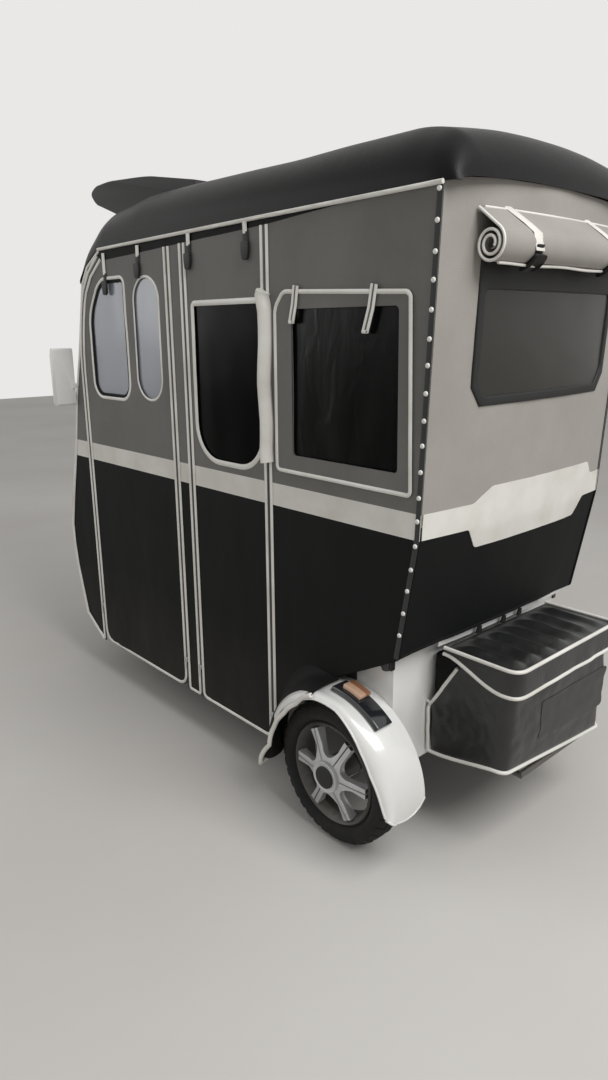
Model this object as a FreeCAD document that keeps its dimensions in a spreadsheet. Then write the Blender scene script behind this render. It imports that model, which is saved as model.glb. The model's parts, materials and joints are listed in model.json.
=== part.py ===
import FreeCAD, Part
import math
import os
import re

import Sketcher
from FreeCAD import Placement, Rotation, Vector

doc = FreeCAD.newDocument("auto_rickshaw")
sheet = doc.addObject("Spreadsheet::Sheet", "sizes")

# Every place along the vehicle is measured forward from the rear axle, every
# height from the ground and every side distance from the middle plane.
# alias, value in mm (or as the note says), what it is
SIZES = [
    ("wheelbase", 1790, "rear axle to front axle"),
    ("rear_overhang", 412, "rear axle back to the luggage bag's lid edge"),
    ("track", 900, "between the middles of the rear wheels"),
    ("tyre_radius", 205, "outside radius of a 3.00-10 tyre"),
    ("tyre_width", 90, "across a tyre"),
    ("rim_radius", 148, "lip of the cast rim"),
    ("rim_width", 76, "across the rim's lips"),
    ("rim_wall", 7, "cast rim's barrel"),
    ("hub_radius", 45, "cast hub"),
    ("hub_reach", 60, "rear hub's face out from the wheel's middle"),
    ("axle_radius", 12, "stub axle"),
    ("running_fit", 0.05, "radial play of a turning joint"),
    ("spoke_count", 6, "split spokes in each wheel"),
    ("cabin_width", 848, "outside the canvas walls"),
    ("canvas", 7, "canvas wall with its lining"),
    ("seam", 0.6, "gap between two canvas panels"),
    ("seat_gap", 0.3, "soft piece to what carries it"),
    ("roof_wall", 10, "roof cover"),
    ("roof_edge", 1673, "lower edge of the roof cover at the rear corner"),
    ("roof_fall", 20, "how much lower that edge is at the front"),
    ("roof_end_back", 571, "front axle back to where the roof's side edge curves down"),
    ("roof_shoulder", 1805, "where the crown turns into the shoulder"),
    ("roof_crown", 1831, "top of the roof on the middle plane"),
    ("shoulder_side", 343, "side distance of the shoulder"),
    ("visor_side", 300, "half width of the roof visor"),
    ("belt_low", 904, "lower edge of the pale belt stripe"),
    ("belt_high", 968, "upper edge of the pale belt stripe"),
    ("rear_top_x", -256, "rear corner at the roof edge"),
    ("rear_belt_x", -227, "rear corner at the belt"),
    ("rear_hem_x", -173, "rear corner at the hem"),
    ("rear_hem", 582, "hem of the rear wall"),
    ("rear_bulge", 24, "how far the rear wall bows out in the middle"),
    ("roll_height", 1558, "middle of the rolled-up rear flap"),
    ("roll_radius", 38, "rolled-up rear flap"),
    ("door_hem", 148, "hem of the doors"),
    ("rear_zip", 321, "zip between quarter panel and rear door"),
    ("pillar_rear", 707, "zip behind the middle pillar strip"),
    ("pillar_front", 793, "zip ahead of the middle pillar strip"),
    ("front_zip_back", 387, "front axle back to the zip ahead of the front door"),
    ("screen_top_back", 427, "front axle back to the windscreen's top corner"),
    ("screen_top", 1546, "height of that corner"),
    ("cowl_back", 269, "front axle back to the cowl's corner"),
    ("cowl", 969, "height of the cowl"),
    ("screen_bulge", 46, "how far the windscreen bows forward"),
    ("screen_margin", 40, "surround below the windscreen's pane"),
    ("arch_side", 215, "half width of the apron's wheel arch"),
    ("arch_top", 580, "top of the apron's wheel arch"),
    ("lamp_radius", 82, "headlamp bezel"),
    ("lamp_drop", 194, "headlamp's middle below the cowl"),
    ("eye_radius", 8.5, "hole of the tie-down eye"),
    ("hinge_cord", 5, "radius of the cord in the bag lid's hinge"),
    ("fender_gap", 42, "clear space between a rear tyre and its mudguard"),
    ("fender_side", 530, "outer edge of a rear mudguard"),
    ("fender_wall", 3, "mudguard's wall"),
    ("shell_side", 388, "outside of the painted rear body"),
    ("shell_back_x", -132, "rear face of the painted rear body"),
    ("shell_top", 560, "top of the painted rear body"),
    ("shell_bottom", 226, "bottom of the painted rear body"),
    ("shell_wall", 3, "painted rear body's wall"),
    ("rail_side", 200, "side distance of a main rail's middle"),
    ("rail_size", 40, "square main rail"),
    ("rail_low", 262, "underside of the main rails"),
    ("floor_wall", 5, "floor pan"),
    ("floor_side", 390, "half width of the floor pan"),
    ("hoop_low", 446, "underside of the hoop that carries the dampers"),
    ("bag_side", 252, "half width of the luggage bag"),
    ("bag_front_x", -142, "front face of the luggage bag"),
    ("bag_low", 244, "bottom of the luggage bag"),
    ("bag_lid_top", 568, "top of the bag's lid"),
    ("bag_skirt", 496, "hem of the lid's skirt"),
    ("bag_wall", 6, "padded wall of the bag"),
    ("lid_hinge_x", -206, "sewn hinge of the lid"),
    ("rake", 25, "steering axis from the vertical, degrees"),
    ("fork_side", 73, "side distance of a fork leg"),
    ("fork_tube", 18, "radius of a fork leg"),
    ("stem_radius", 15, "steering stem"),
    ("head_tube", 24, "radius of the head tube"),
    ("head_low", 540, "lower end of the head tube"),
    ("head_high", 700, "upper end of the head tube"),
    ("bar_radius", 11, "handlebar tube"),
    ("bar_drop", 14, "handlebar's clamp below the cowl"),
    ("frame_tube", 11, "radius of a canopy tube"),
    ("bench_back_x", -118, "back of the bench box"),
    ("bench_front_x", 305, "front of the bench box"),
    ("bench_top", 590, "passengers' bench"),
    ("bench_depth", 98, "bench cushion from its top to the box"),
    ("bench_side", 372, "half width of the bench cushion"),
    ("seat_back_top", 1070, "top of the passengers' backrest"),
    ("pedestal_x", 665, "back of the driver's seat box"),
    ("driver_seat_top", 640, "driver's cushion"),
    ("driver_seat_depth", 84, "driver's cushion from its top to the box"),
    ("sill_side", 385, "side distance of a sill's middle"),
    ("sill_width", 28, "across a sill"),
    ("door_beam", 335, "cross member under the rear zip"),
    ("seat_beam", 760, "cross member under the driver"),
    ("coil_count", 4, "coils of a damper's spring"),
    ("coil_pitch", 38, "from one coil to the next"),
    ("lug_side", 262, "side distance of a damper"),
    ("motor_radius", 72, "drive motor"),
    ("motor_length", 190, "drive motor"),
]


def fill_sheet():
    for row, (alias, value, note) in enumerate(SIZES, start=1):
        sheet.set(f"A{row}", alias)
        sheet.set(f"B{row}", str(value))
        sheet.setAlias(f"B{row}", alias)
        sheet.set(f"C{row}", note)
    doc.recompute()


NAMES = {alias for alias, value, note in SIZES}

# places that follow from the sizes
DERIVED = {
    "roof_edge_end": "(wheelbase - roof_end_back)",
    "front_zip": "(wheelbase - front_zip_back)",
    "screen_top_x": "(wheelbase - screen_top_back)",
    "cowl_x": "(wheelbase - cowl_back)",
    "legshield_x": "(wheelbase - 365)",
    "bar_clamp": "(cowl - bar_drop)",
    "floor_top": "(rail_low + rail_size + floor_wall)",
    "fender_radius": "(tyre_radius + fender_gap + fender_wall)",
    "front_door": "(wheelbase - front_zip_back - pillar_front)",
    "rail_high": "(rail_low + rail_size)",
    "front_beam": "(wheelbase - 405)",
    "neck_beam": "(wheelbase - 350)",
}


def bound(text):
    # spells out derived places and puts the sheet's name before each alias
    text = re.sub(r"[a-z_]+", lambda word: DERIVED.get(word[0], word[0]), str(text))
    return re.sub(r"[a-z_]+", lambda word: f"sizes.{word[0]}" if word[0] in NAMES else word[0], text)


def size(text):
    # value of an expression written in aliases
    return float(sheet.evalExpression(bound(text)))


# The part's origin is under the middle of the vehicle's length.
AXLE_X = "-(wheelbase + tyre_radius - rear_overhang) / 2"


def seat(piece, along="0", side="0", height="0", turn=None):
    # places a piece by its distances from the rear axle
    if turn is not None:
        piece.Placement = Placement(Vector(0, 0, 0), turn)
    piece.setExpression("Placement.Base.x", bound(f"{AXLE_X} + {along}"))
    piece.setExpression("Placement.Base.y", bound(side))
    piece.setExpression("Placement.Base.z", bound(height))


parts = []


def finish(piece, label, along="0", side="0", height="0", turn=None):
    piece.Label = label
    seat(piece, along, side, height, turn)
    parts.append(piece)
    return piece


def shaped(label, shape):
    # a sub-part whose curved surfaces come straight from lofts and sweeps
    piece = doc.addObject("Part::Feature", label)
    piece.Shape = shape
    return finish(piece, label)


def twin_of(source, name):
    twin = doc.addObject("Part::Mirroring", name)
    twin.Source = source
    twin.Normal = Vector(0, 1, 0)
    twin.Base = Vector(0, 0, 0)
    return twin


def mirrored(source, label):
    # right-hand twin of a left-hand sub-part
    doc.recompute()
    twin = twin_of(source, label)
    twin.Label = label
    parts.append(twin)
    return twin


def pair(label, source):
    # a left-hand piece and its right-hand twin as one sub-part
    doc.recompute()
    both = doc.addObject("Part::Compound", label.title())
    both.Links = [source, twin_of(source, source.Name + "Twin")]
    return finish(both, label)


def plane(body, role):
    return next(item for item in body.Origin.OriginFeatures if item.Role == role)


def sketch_on(body, role, offset="0"):
    sketch = body.newObject("Sketcher::SketchObject", "Sketch")
    sketch.AttachmentSupport = [(plane(body, role), "")]
    sketch.MapMode = "FlatFace"
    sketch.setExpression("AttachmentOffset.Base.z", bound(offset))
    return sketch


def pin_point(sketch, item, end, across, up):
    # ties one point of the sketch to its distances from the origin
    first = sketch.addConstraint(Sketcher.Constraint("DistanceX", -1, 1, item, end, size(across)))
    second = sketch.addConstraint(Sketcher.Constraint("DistanceY", -1, 1, item, end, size(up)))
    sketch.setExpression(f"Constraints[{first}]", bound(across))
    sketch.setExpression(f"Constraints[{second}]", bound(up))


def draw_polygon(sketch, corners):
    spots = [Vector(size(across), size(up), 0) for across, up in corners]
    count = len(spots)
    start = sketch.GeometryCount
    for index in range(count):
        sketch.addGeometry(Part.LineSegment(spots[index], spots[(index + 1) % count]))
    for index in range(count):
        after = start + (index + 1) % count
        sketch.addConstraint(Sketcher.Constraint("Coincident", start + index, 2, after, 1))
        pin_point(sketch, start + index, 1, *corners[index])


def draw_circle(sketch, across, up, radius):
    item = sketch.addGeometry(Part.Circle(Vector(size(across), size(up), 0), Vector(0, 0, 1), size(radius)))
    pin_point(sketch, item, 3, across, up)
    tie = sketch.addConstraint(Sketcher.Constraint("Radius", item, size(radius)))
    sketch.setExpression(f"Constraints[{tie}]", bound(radius))


def pad(body, sketch, length, reversed_=False):
    feature = body.newObject("PartDesign::Pad", "Pad")
    feature.Profile = sketch
    feature.setExpression("Length", bound(length))
    feature.Reversed = reversed_
    return feature


def pocket(body, sketch, length, reversed_=False, midplane=False):
    before = body.Shape.Volume
    feature = body.newObject("PartDesign::Pocket", "Pocket")
    feature.Profile = sketch
    feature.setExpression("Length", bound(length))
    feature.Reversed = reversed_
    feature.Midplane = midplane
    doc.recompute()
    if body.Shape.Volume > before - 1:
        raise ValueError(f"{body.Label}: a pocket cuts nothing")
    return feature


def round_edges(body, feature, corners, radius):
    # rounds the edges that run across a side panel at the given corners
    doc.recompute()
    chosen = []
    for across, up in corners:
        spot = (size(across), size(up))
        for index, edge in enumerate(feature.Shape.Edges, start=1):
            ends = [vertex.Point for vertex in edge.Vertexes]
            if len(ends) == 2 and all(math.hypot(end.x - spot[0], end.z - spot[1]) < 0.01 for end in ends):
                chosen.append(f"Edge{index}")
    fillet = body.newObject("PartDesign::Fillet", "Fillet")
    fillet.Base = (feature, chosen)
    fillet.setExpression("Radius", bound(radius))
    return fillet


def revolve(body, sketch, axis, angle=360, middle=False):
    feature = body.newObject("PartDesign::Revolution", "Revolution")
    feature.Profile = sketch
    feature.ReferenceAxis = (plane(body, axis), [""])
    feature.Angle = angle
    feature.Midplane = middle
    return feature


def side_panel(name, corners, inner, thick, windows=(), rounds=()):
    # a flat piece drawn on the middle plane and padded sideways;
    # inner is the side distance of its inner face
    body = doc.addObject("PartDesign::Body", name)
    outline = sketch_on(body, "XZ_Plane", f"-({inner})")
    draw_polygon(outline, corners)
    feature = pad(body, outline, thick, True)
    doc.recompute()
    for window in windows:
        hole = sketch_on(body, "XZ_Plane", f"-({inner})")
        draw_polygon(hole, window)
        feature = pocket(body, hole, f"3 * ({thick})", midplane=True)
    for spots, radius in rounds:
        feature = round_edges(body, feature, spots, radius)
    doc.recompute()
    return body


def box(name, low, high):
    # a plain block between two corners written in aliases
    block = doc.addObject("Part::Box", name)
    for side_name, start, end in zip(("Length", "Width", "Height"), low, high):
        block.setExpression(side_name, bound(f"({end}) - ({start})"))
    for axis, start in zip("xyz", low):
        block.setExpression(f"Placement.Base.{axis}", bound(start))
    return block


def block(label, low, high):
    # a sub-part that is one plain block
    return finish(box(label, low, high), label, *low)


def fuse(name, pieces):
    joined = doc.addObject("Part::MultiFuse", name)
    joined.Shapes = pieces
    joined.Refine = True
    return joined


def cut(name, base, tool):
    result = doc.addObject("Part::Cut", name)
    result.Base = base
    result.Tool = tool
    result.Refine = True
    return result


def mitred_tube(points, radius):
    # a round tube along straight runs with mitred corners
    spots = [Vector(*point) for point in points]
    ring = Part.Wire(Part.makeCircle(radius, spots[0], spots[1] - spots[0]))
    return Part.Wire(Part.makePolygon(spots)).makePipeShell([ring], True, False, 1)


def bent_tube(points, bend, radius):
    # a round tube along straight runs joined by tangent arcs
    spots = [Vector(*point) for point in points]
    edges = []
    start = spots[0]
    for before, corner, after in zip(spots, spots[1:], spots[2:]):
        into = (corner - before).normalize()
        out = (after - corner).normalize()
        turn = into.getAngle(out)
        reach = bend * math.tan(turn / 2)
        first = corner - into * reach
        last = corner + out * reach
        middle = corner + (out - into).normalize() * (bend / math.cos(turn / 2) - bend)
        edges.append(Part.LineSegment(start, first).toShape())
        edges.append(Part.Arc(first, middle, last).toShape())
        start = last
    edges.append(Part.LineSegment(start, spots[-1]).toShape())
    path = Part.Wire(edges)
    ring = Part.Wire(Part.makeCircle(radius, spots[0], spots[1] - spots[0]))
    return path.makePipeShell([ring], True, False)


def straight_tube(start, end, radius):
    start, end = Vector(*start), Vector(*end)
    return Part.makeCylinder(radius, (end - start).Length, start, end - start)


def mirror_y(shape):
    return shape.mirror(Vector(0, 0, 0), Vector(0, 1, 0))


def bowed_wall(sections, half, wall, forward):
    # an upright wall that bows in plan; each section is height, corner x, bulge
    wires = []
    for height, corner, bulge in sections:
        inset = -wall * forward
        out = corner + bulge * forward
        arc = Part.Arc(Vector(corner, -half, height), Vector(out, 0, height), Vector(corner, half, height))
        inner = Part.Arc(
            Vector(corner + inset, half, height),
            Vector(out + inset, 0, height),
            Vector(corner + inset, -half, height),
        )
        sides = [
            Part.LineSegment(Vector(corner, half, height), Vector(corner + inset, half, height)),
            Part.LineSegment(Vector(corner + inset, -half, height), Vector(corner, -half, height)),
        ]
        wires.append(Part.Wire([arc.toShape(), sides[0].toShape(), inner.toShape(), sides[1].toShape()]))
    return Part.makeLoft(wires, True, True)


def prism_x(corners, low, high):
    # a straight block along the vehicle with the given outline in y and z
    spots = [Vector(low, across, up) for across, up in corners]
    face = Part.Face(Part.makePolygon(spots + spots[:1]))
    return face.extrude(Vector(high - low, 0, 0))


fill_sheet()
SIDE = "cabin_width / 2"


def roof_edge_over(along):
    return f"roof_edge - roof_fall * (({along}) - rear_top_x) / (roof_edge_end - rear_top_x)"


# Chassis: two square rails, cross members and sills, a neck that carries the
# head tube and a hoop over the axle for the dampers.
def make_chassis():
    pieces = []
    for index, sign in enumerate((-1, 1)):
        middle = f"{sign} * rail_side"
        inner, outer = f"{middle} - rail_size / 2", f"{middle} + rail_size / 2"
        pieces.append(box(f"Rail{index}", ("shell_back_x + shell_wall + seat_gap", inner, "rail_low"),
                          ("neck_beam + 20", outer, "rail_high")))
        sill = f"{sign} * sill_side"
        pieces.append(box(f"Sill{index}", ("door_beam", f"{sill} - sill_width / 2", "rail_low"),
                          ("front_beam + 30", f"{sill} + sill_width / 2", "rail_high")))
        pieces.append(box(f"Post{index}", ("-60", inner, "rail_high"), ("-20", outer, "hoop_low + 5")))
    beams = (("-120", "rail_side + rail_size / 2"), ("door_beam", "sill_side"), ("seat_beam", "sill_side"),
             ("front_beam", "sill_side"), ("neck_beam", "rail_side + 15"))
    for index, (along, half) in enumerate(beams):
        pieces.append(box(f"Beam{index}", (along, f"-({half})", "rail_low"),
                          (f"{along} + 30", half, "rail_high")))
    pieces.append(box("Hoop", ("-60", "-300", "hoop_low"), ("-20", "300", "hoop_low + 25")))
    # flat tie-down eye ahead of the front cross member
    eye = doc.addObject("PartDesign::Body", "TieDownEye")
    outline = sketch_on(eye, "XY_Plane", "rail_low + rail_size / 2 - 4")
    draw_polygon(outline, [
        ("neck_beam + 25", "-34"), ("neck_beam + 44", "-34"), ("neck_beam + 68", "-16"),
        ("neck_beam + 68", "16"), ("neck_beam + 44", "34"), ("neck_beam + 25", "34")])
    draw_circle(outline, "neck_beam + 47", "0", "eye_radius")
    pad(eye, outline, "8")
    frame = fuse("FrameBoxes", pieces + [eye])
    doc.recompute()
    lean = math.radians(size("rake"))
    axis = Vector(-math.sin(lean), 0, math.cos(lean))

    def on_axis(height):
        return Vector(size("wheelbase") - (height - size("tyre_radius")) * math.tan(lean), 0, height)

    bottom, top = on_axis(size("head_low")), on_axis(size("head_high"))
    head = Part.makeCylinder(size("head_tube"), (top - bottom).Length, bottom, axis)
    # two struts run up to the head tube, with a brace halfway
    middle = on_axis((size("head_low") + size("head_high")) / 2)
    feet = [Vector(size("neck_beam + 12"), side, size("rail_low + rail_size / 2")) for side in (-130, 130)]
    struts = [straight_tube(foot, middle - Vector(8, 0, 0), 19) for foot in feet]
    brace = straight_tube(*[(foot + middle) / 2 for foot in feet], 12)
    shape = frame.Shape.multiFuse([head, brace] + struts).removeSplitter()
    bore = Part.makeCylinder(size("stem_radius + running_fit"), 400, bottom - axis * 100, axis)
    return shaped("chassis_frame", shape.cut(bore))


def make_floor():
    # pressed floor pan with a raised tread for the passengers and ribs for the driver
    body = doc.addObject("PartDesign::Body", "FloorPan")
    outline = sketch_on(body, "XY_Plane", "rail_high")
    draw_polygon(outline, [
        ("door_beam - 5", "-floor_side"), ("legshield_x + 7", "-floor_side"),
        ("legshield_x + 7", "floor_side"), ("door_beam - 5", "floor_side")])
    pad(body, outline, "floor_wall")
    ribs = sketch_on(body, "XY_Plane", "floor_top")
    draw_polygon(ribs, [("350", "-340"), ("630", "-340"), ("630", "340"), ("350", "340")])
    for middle in (-300, -100, 100, 300):
        draw_polygon(ribs, [("1020", middle - 12), ("legshield_x - 45", middle - 12),
                            ("legshield_x - 45", middle + 12), ("1020", middle + 12)])
    pad(body, ribs, "4")
    finish(body, "floor_pan")


def sheet_box(name, low, high):
    # sheet-metal box, open below
    wall = "3"
    inside_low = [f"{low[0]} + {wall}", f"{low[1]} + {wall}", f"{low[2]} - 10"]
    inside_high = [f"{high[0]} - {wall}", f"{high[1]} - {wall}", f"{high[2]} - {wall}"]
    return cut(name, box(name + "Outside", low, high), box(name + "Inside", inside_low, inside_high))


def make_seats():
    # the battery stands inside the bench box
    bench = sheet_box("BenchBox", ("bench_back_x", "-(bench_side + 11)", "rail_high"),
                      ("bench_front_x", "bench_side + 11", "bench_top - bench_depth"))
    finish(bench, "bench_base")
    block("battery_box", ("10", "-225", "rail_high"), ("bench_front_x - 20", "225", "bench_top - 110"))
    low, front = "bench_top - bench_depth + seat_gap", "bench_front_x"
    cushion = side_panel("BenchCushion", [
        ("bench_back_x + 6", low), (f"{front} + 5", low), (f"{front} + 17", "bench_top - 20"),
        (f"{front} - 5", "bench_top"), ("bench_back_x + 6", "bench_top")], "-bench_side", "2 * bench_side",
        rounds=[([(f"{front} + 17", "bench_top - 20"), (f"{front} - 5", "bench_top")], "14")])
    finish(cushion, "bench_cushion")
    back, top = "bench_back_x", "seat_back_top"
    backrest = side_panel("BenchBack", [
        (f"{back} + 14", "bench_top + seat_gap"), (f"{back} + 96", "bench_top + seat_gap"),
        (f"{back} + 52", f"{top} - 30"), (f"{back} + 18", top), (f"{back} - 40", top)],
        "-bench_side", "2 * bench_side",
        rounds=[([(f"{back} + 52", f"{top} - 30"), (f"{back} + 18", top)], "16")])
    finish(backrest, "bench_backrest")

    back, top = "pedestal_x", "driver_seat_top"
    deck = f"{top} - driver_seat_depth"
    stand = sheet_box("Pedestal", (back, "-165", "floor_top"), (f"{back} + 280", "165", deck))
    brackets = [box(f"BackBracket{index}", (f"{back} - 61", f"{side} - 15", f"{deck} - 12"),
                    (f"{back} + 5", f"{side} + 15", deck)) for index, side in enumerate(("-110", "110"))]
    finish(fuse("SeatStand", [stand] + brackets), "driver_seat_base")
    low = f"{deck} + seat_gap"
    cushion = side_panel("DriverCushion", [
        (f"{back} - 10", low), (f"{back} + 295", low), (f"{back} + 320", f"{top} - 25"),
        (f"{back} + 290", top), (f"{back} - 15", f"{top} - 6")], "-205", "410",
        rounds=[([(f"{back} + 320", f"{top} - 25"), (f"{back} + 290", top)], "16")])
    finish(cushion, "driver_cushion")
    backrest = side_panel("DriverBack", [
        (f"{back} - 43", low), (f"{back} - 11", low), (f"{back} - 17", f"{top} + 20"),
        (f"{back} + 7", f"{top} + 60"), (f"{back} - 43", f"{top} + 400"), (f"{back} - 103", f"{top} + 400")],
        "-195", "390",
        rounds=[([(f"{back} - 43", f"{top} + 400"), (f"{back} - 103", f"{top} + 400")], "22")])
    finish(backrest, "driver_backrest")


def make_rear_axle():
    # rigid axle with a round differential case, its stubs carry the wheels
    body = doc.addObject("PartDesign::Body", "RearAxle")
    outline = sketch_on(body, "YZ_Plane")
    stub_end, tube_end = "track / 2 + hub_reach + 2", "track / 2 - tyre_width / 2 - 3"
    draw_polygon(outline, [
        (f"-({stub_end})", "0"), (stub_end, "0"), (stub_end, "axle_radius"), (tube_end, "axle_radius"),
        (tube_end, "28"), ("110", "28"), ("50", "88"), ("-50", "88"), ("-110", "28"),
        (f"-({tube_end})", "28"), (f"-({tube_end})", "axle_radius"), (f"-({stub_end})", "axle_radius")])
    revolve(body, outline, "Y_Axis")
    body.setExpression("Placement.Base.z", bound("tyre_radius"))
    lugs = [box(f"DamperLug{index}", ("-58", f"{side} - 15", "tyre_radius - 14"),
                ("-18", f"{side} + 15", "tyre_radius + 27 - seat_gap"))
            for index, side in enumerate(("-lug_side", "lug_side"))]
    finish(fuse("AxleAndLugs", [body] + lugs), "rear_axle")
    motor = doc.addObject("Part::Cylinder", "Motor")
    motor.setExpression("Radius", bound("motor_radius"))
    motor.setExpression("Height", bound("motor_length"))
    finish(motor, "drive_motor", along="88", height="tyre_radius", turn=Rotation(Vector(0, 1, 0), 90))
    # coil-over dampers between the axle and the hoop
    profile = [("0", "0"), ("17", "0"), ("17", "30")]
    for index in range(int(size("coil_count"))):
        base = f"30 + {index} * coil_pitch"
        profile += [("17", f"{base} + 4"), ("31", f"{base} + 12"), ("31", f"{base} + 20"),
                    ("17", f"{base} + 28")]
    top = "hoop_low - tyre_radius - 27"
    profile += [("17", f"{top} - 29"), ("12", f"{top} - 29"), ("12", top), ("0", top)]
    body = doc.addObject("PartDesign::Body", "Damper")
    outline = sketch_on(body, "XZ_Plane")
    draw_polygon(outline, profile)
    revolve(body, outline, "Z_Axis")
    body.Placement.Base = Vector(-38, 0, 0)
    body.setExpression("Placement.Base.y", bound("lug_side"))
    body.setExpression("Placement.Base.z", bound("tyre_radius + 27"))
    pair("rear_dampers", body)


def make_wheel(label, along, side, bore, hub_face):
    # cast rim with split spokes; made about its own upright axis, then laid over
    body = doc.addObject("PartDesign::Body", label + "Rim")
    outline = sketch_on(body, "XZ_Plane")
    half = "rim_width / 2"
    draw_polygon(outline, [
        ("rim_radius - rim_wall - 14", f"-({half}) + 16"), ("rim_radius - rim_wall - 14", f"{half} - 16"),
        ("rim_radius - 5", half), ("rim_radius", f"{half} - 6"), ("rim_radius - 12", f"{half} - 18"),
        ("rim_radius - 12", f"-({half}) + 18"), ("rim_radius", f"-({half}) + 6"),
        ("rim_radius - 5", f"-({half})")])
    revolve(body, outline, "Z_Axis")
    doc.recompute()
    hub = sketch_on(body, "XY_Plane", "-34")
    draw_circle(hub, "0", "0", "hub_radius")
    pad(body, hub, f"34 + {hub_face}")
    # each spoke is two prongs with a slot between; near the hub they part and join the next spokes' prongs
    spokes = sketch_on(body, "XY_Plane", "20")
    reach = "rim_radius - rim_wall - 10"
    for sign in (-1, 1):
        draw_polygon(spokes, [
            ("hub_radius - 8", f"{sign} * 1.8"), (reach, f"{sign} * 2.2"), (reach, f"{sign} * 14.5"),
            ("hub_radius + 39", f"{sign} * 13"), ("hub_radius + 21", f"{sign} * 15.5"),
            ("hub_radius + 10", f"{sign} * 21.5"), ("hub_radius + 3", f"{sign} * 0.6 * (hub_radius + 3)"),
            ("hub_radius - 8", f"{sign} * 0.6 * (hub_radius - 8)")])
    spoke = pad(body, spokes, "18")
    doc.recompute()
    ring = body.newObject("PartDesign::PolarPattern", "PolarPattern")
    ring.Originals = [spoke]
    ring.Axis = (plane(body, "Z_Axis"), [""])
    ring.Angle = 360
    ring.setExpression("Occurrences", bound("round(spoke_count)"))
    body.Tip = ring
    doc.recompute()
    hole = sketch_on(body, "XY_Plane", "-60")
    draw_circle(hole, "0", "0", f"{bore} + running_fit")
    pocket(body, hole, "200", True)
    doc.recompute()
    outward = Rotation(Vector(1, 0, 0), -90)
    finish(body, label + "_rim", along, side, "tyre_radius", outward)

    tyre = doc.addObject("PartDesign::Body", label + "Tyre")
    outline = sketch_on(tyre, "XZ_Plane")
    half = "tyre_width / 2"
    bead = "rim_radius - 11.7"
    draw_polygon(outline, [
        (bead, "-(rim_width / 2) + 18.5"), ("rim_radius + 20", f"-({half})"),
        ("tyre_radius - 15", f"-({half}) + 5"),
        ("tyre_radius", "-22"), ("tyre_radius", "22"), ("tyre_radius - 15", f"{half} - 5"),
        ("rim_radius + 20", half), (bead, "rim_width / 2 - 18.5")])
    revolve(tyre, outline, "Z_Axis")
    finish(tyre, label + "_tyre", along, side, "tyre_radius", outward)
    return body, tyre


def make_wheels():
    rim, tyre = make_wheel("rear_left", "0", "track / 2", "axle_radius", "hub_reach")
    doc.recompute()
    mirrored(rim, "rear_right_rim")
    mirrored(tyre, "rear_right_tyre")
    make_wheel("front", "wheelbase", "0", "7", "rim_width / 2")


def make_rear_body():
    # painted steel shell, closed behind and at the sides, open in front
    back, side, low = "shell_back_x", "shell_side", "shell_bottom"
    outside = box("ShellOutside", (back, f"-{side}", low), ("0", side, "shell_top"))
    inside = box("ShellInside", (f"{back} + shell_wall", f"-{side} + shell_wall", f"{low} - 10"),
                 ("10", f"{side} - shell_wall", "shell_top + 10"))
    notch = doc.addObject("Part::Cylinder", "AxleNotch")
    notch.Radius = 48
    notch.setExpression("Height", bound("2 * fender_side"))
    notch.Placement.Rotation = Rotation(Vector(1, 0, 0), -90)
    notch.setExpression("Placement.Base.y", bound("-fender_side"))
    notch.setExpression("Placement.Base.z", bound("tyre_radius"))
    finish(cut("Shell", outside, fuse("ShellTools", [inside, notch])), "rear_body_shell")

    # rolled mudguards over the rear wheels
    body = doc.addObject("PartDesign::Body", "Mudguard")
    outline = sketch_on(body, "YZ_Plane")
    wall = "fender_wall"
    inner, outer, top = "shell_side + seat_gap", "fender_side", "fender_radius"
    draw_polygon(outline, [
        (inner, top), (f"{outer} - 46", top), (f"{outer} - 16", f"{top} - 10"), (outer, f"{top} - 34"),
        (f"{outer} - {wall}", f"{top} - 36"), (f"{outer} - 18", f"{top} - 13"),
        (f"{outer} - 47", f"{top} - {wall}"), (inner, f"{top} - {wall}")])
    revolve(body, outline, "Y_Axis", 156, True)
    finish(body, "rear_fender_left", height="tyre_radius", turn=Rotation(Vector(0, 1, 0), -18))
    doc.recompute()
    mirrored(body, "rear_fender_right")

    # smoked lamp housing that follows the mudguard, with an amber lens on it
    lamps = (("tail_lamps", "seat_gap", "13", "34", "96", 109, 40),
             ("indicators", "13 + seat_gap", "20", "38", "86", 102, 14))
    for label, low, high, inner, outer, middle, sweep in lamps:
        low, high = f"fender_radius + {low}", f"fender_radius + {high}"
        inner, outer = f"shell_side + {inner}", f"shell_side + {outer}"
        body = doc.addObject("PartDesign::Body", label + "Left")
        outline = sketch_on(body, "YZ_Plane")
        draw_polygon(outline, [(inner, low), (outer, low), (f"{outer} - 4", high), (f"{inner} + 4", high)])
        revolve(body, outline, "Y_Axis", sweep, True)
        body.Placement.Rotation = Rotation(Vector(0, 1, 0), -(middle - 90))
        body.setExpression("Placement.Base.z", bound("tyre_radius"))
        pair(label, body)


QUARTER_WINDOW = [("rear_belt_x + 69", "belt_high + 92"), ("rear_belt_x + 77", "belt_high + 464"),
                  ("rear_zip - 109", "belt_high + 464"), ("rear_zip - 109", "belt_high + 92")]
REAR_DOOR_WINDOW = [("rear_zip + 20", "belt_high + 26"), ("rear_zip + 20", "belt_high + 492"),
                    ("pillar_rear - 40", "belt_high + 492"), ("pillar_rear - 40", "belt_high + 26")]
OVAL_WINDOW = [("pillar_front + front_door * 0.1", "belt_high + 190"),
               ("pillar_front + front_door * 0.1", "belt_high + 582"),
               ("pillar_front + front_door * 0.356", "belt_high + 582"),
               ("pillar_front + front_door * 0.356", "belt_high + 190")]
ROUND_WINDOW = [("pillar_front + front_door * 0.448", "belt_high + 180"),
                ("pillar_front + front_door * 0.448", "belt_high + 588"),
                ("front_zip - front_door * 0.267", "belt_high + 588"),
                ("front_zip - front_door * 0.128", "belt_high + 472"),
                ("front_zip - front_door * 0.128", "belt_high + 180")]


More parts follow.
